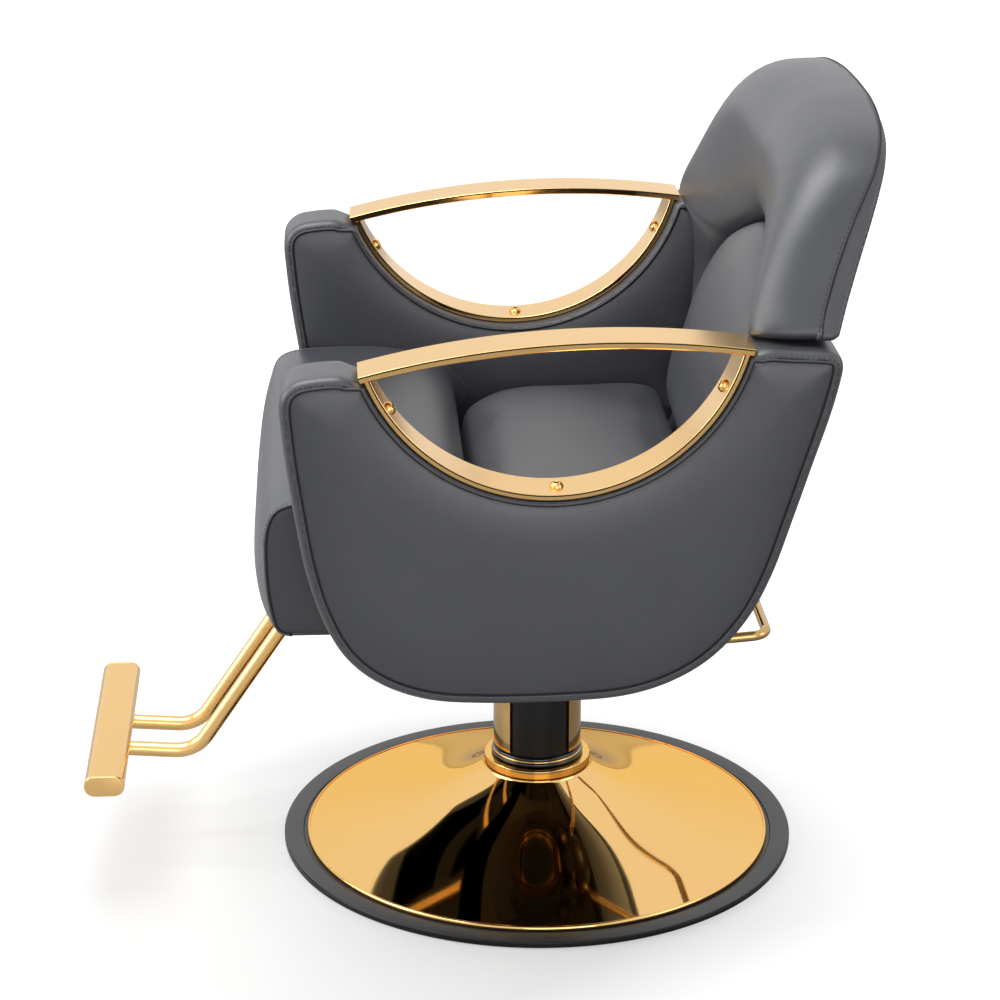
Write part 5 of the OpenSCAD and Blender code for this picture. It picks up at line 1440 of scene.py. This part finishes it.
class ChairStage(bpy.types.Operator):
    """Set the camera, the lamps, the white floor and the room"""

    bl_idname = "chair.stage"
    bl_label = "Studio"

    def execute(self, context):
        scene, studio = context.scene, context.scene.chair_studio
        scene.view_settings.view_transform = "Standard"
        eye = bpy.data.cameras.new("studio_camera")
        eye.lens, eye.sensor_width = studio.lens, 36
        eye.clip_start, eye.clip_end = 0.1, 50
        camera = bpy.data.objects.new("studio_camera", eye)
        scene.collection.objects.link(camera)
        camera.location = studio.eye
        aim = Vector(studio.aim) - Vector(studio.eye)
        camera.rotation_mode = "QUATERNION"
        camera.rotation_quaternion = aim.to_track_quat("-Z", "Y")
        scene.camera = camera
        for name, place, aim, size, power in (
                ("top_box", (0.1, -0.8, 2.6), (0, -0.1, 0.4), (1.7, 1.7), studio.top),
                ("front_box", (0.2, -2.7, 1.5), (0, 0, 0.5), (2.2, 1.8), studio.front),
                ("side_box", (3.4, 0.4, 1.0), (0, 0, 0.5), (2.0, 1.6), studio.side),
                ("rear_box", (1.2, 2.6, 1.4), (0, 0.1, 0.6), (1.4, 1.8), studio.rear)):
            self.lamp(name, place, aim, size, power)
        self.floor()
        self.room(studio)
        return {"FINISHED"}

    def lamp(self, name, place, aim, size, power):
        """A rectangular soft box that points at a place."""
        data = bpy.data.lights.new(name, "AREA")
        data.shape = "RECTANGLE"
        data.size, data.size_y = size
        data.energy = power
        lamp = bpy.data.objects.new(name, data)
        bpy.context.scene.collection.objects.link(lamp)
        lamp.location = place
        lamp.rotation_mode = "QUATERNION"
        lamp.rotation_quaternion = (Vector(aim) - Vector(place)).to_track_quat("-Z", "Y")

    def floor(self):
        """A wide pale floor that shows white and keeps the chair's soft shadow."""
        mesh = bpy.data.meshes.new("studio_floor")
        h = 9.0
        mesh.from_pydata([(-h, -h, 0), (h, -h, 0), (h, h, 0), (-h, h, 0)], [], [(0, 1, 2, 3)])
        made, tree, main = shader("white_floor")
        main.inputs["Base Color"].default_value = (0.5, 0.5, 0.5, 1)
        main.inputs["Roughness"].default_value = 0.35
        main.inputs["Specular IOR Level"].default_value = 0.2
        glow = add(tree, "ShaderNodeEmission", {"Color": (1, 1, 1, 1), "Strength": 1.0})
        rays = add(tree, "ShaderNodeLightPath").outputs
        place = add(tree, "ShaderNodeTexCoord").outputs["Object"]
        reach = add(tree, "ShaderNodeVectorMath", {1: (0.1, -0.18, 0)}, operation="DISTANCE")
        tree.links.new(place, reach.inputs[0])
        far = ramp(tree, reach.outputs["Value"], 0.3, 0.66, 0.47, 1.0)
        seen = sums(tree, "MULTIPLY", far, rays["Is Camera Ray"])
        glossed = sums(tree, "MULTIPLY", rays["Is Glossy Ray"], 0.12)
        tree.links.new(sums(tree, "MAXIMUM", seen, glossed), glow.inputs["Strength"])
        both = add(tree, "ShaderNodeAddShader")
        tree.links.new(main.outputs[0], both.inputs[0])
        tree.links.new(glow.outputs[0], both.inputs[1])
        tree.links.new(both.outputs[0], tree.nodes["Material Output"].inputs["Surface"])
        mesh.materials.append(made)
        floor = bpy.data.objects.new("studio_floor", mesh)
        bpy.context.scene.collection.objects.link(floor)

    def room(self, studio):
        """White all round for the camera and for reflections, and a softer light on the chair."""
        world = bpy.data.worlds.new("white_room")
        bpy.context.scene.world = world
        world.use_nodes = True
        tree = world.node_tree
        tree.nodes.clear()
        rays = add(tree, "ShaderNodeLightPath").outputs
        seen = sums(tree, "MAXIMUM", rays["Is Camera Ray"], rays["Is Glossy Ray"])
        back = add(tree, "ShaderNodeBackground", {"Color": (1, 1, 1, 1)})
        tree.links.new(ramp(tree, seen, 0.0, 1.0, studio.room, 1.0), back.inputs["Strength"])
        out = add(tree, "ShaderNodeOutputWorld")
        tree.links.new(back.outputs[0], out.inputs["Surface"])


class CHAIR_PT_panel(bpy.types.Panel):
    """Sizes, colours and builders of the chair"""

    bl_label = "Salon Chair"
    bl_idname = "CHAIR_PT_panel"
    bl_space_type = "VIEW_3D"
    bl_region_type = "UI"
    bl_category = "Salon Chair"

    def draw(self, context):
        for group in GROUPS:
            box = self.layout.box()
            box.label(text=group.__doc__)
            held = getattr(context.scene, GROUPS[group])
            for key in group.__annotations__:
                box.prop(held, key)
        for step in STEPS:
            self.layout.operator(step.bl_idname)


GROUPS = {
    ChairLeather: "chair_leather", ChairCushions: "chair_cushions", ChairMetal: "chair_metal",
    ChairStudio: "chair_studio",
}
STEPS = [
    ChairFrame, ChairBase, ChairColumn, ChairPedal, ChairFootrest, ChairPanels, ChairArms, ChairRoll,
    ChairSeat, ChairBack, ChairRear, ChairStage,
]


def register():
    for c in (*GROUPS, *STEPS, CHAIR_PT_panel):
        bpy.utils.register_class(c)
    for group, name in GROUPS.items():
        setattr(bpy.types.Scene, name, PointerProperty(type=group))


def unregister():
    for name in GROUPS.values():
        delattr(bpy.types.Scene, name)
    for c in reversed((*GROUPS, *STEPS, CHAIR_PT_panel)):
        bpy.utils.unregister_class(c)


def main():
    register()
    for step in STEPS:
        area, name = step.bl_idname.split(".")
        getattr(getattr(bpy.ops, area), name)()
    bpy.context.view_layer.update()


if __name__ == "__main__":
    main()
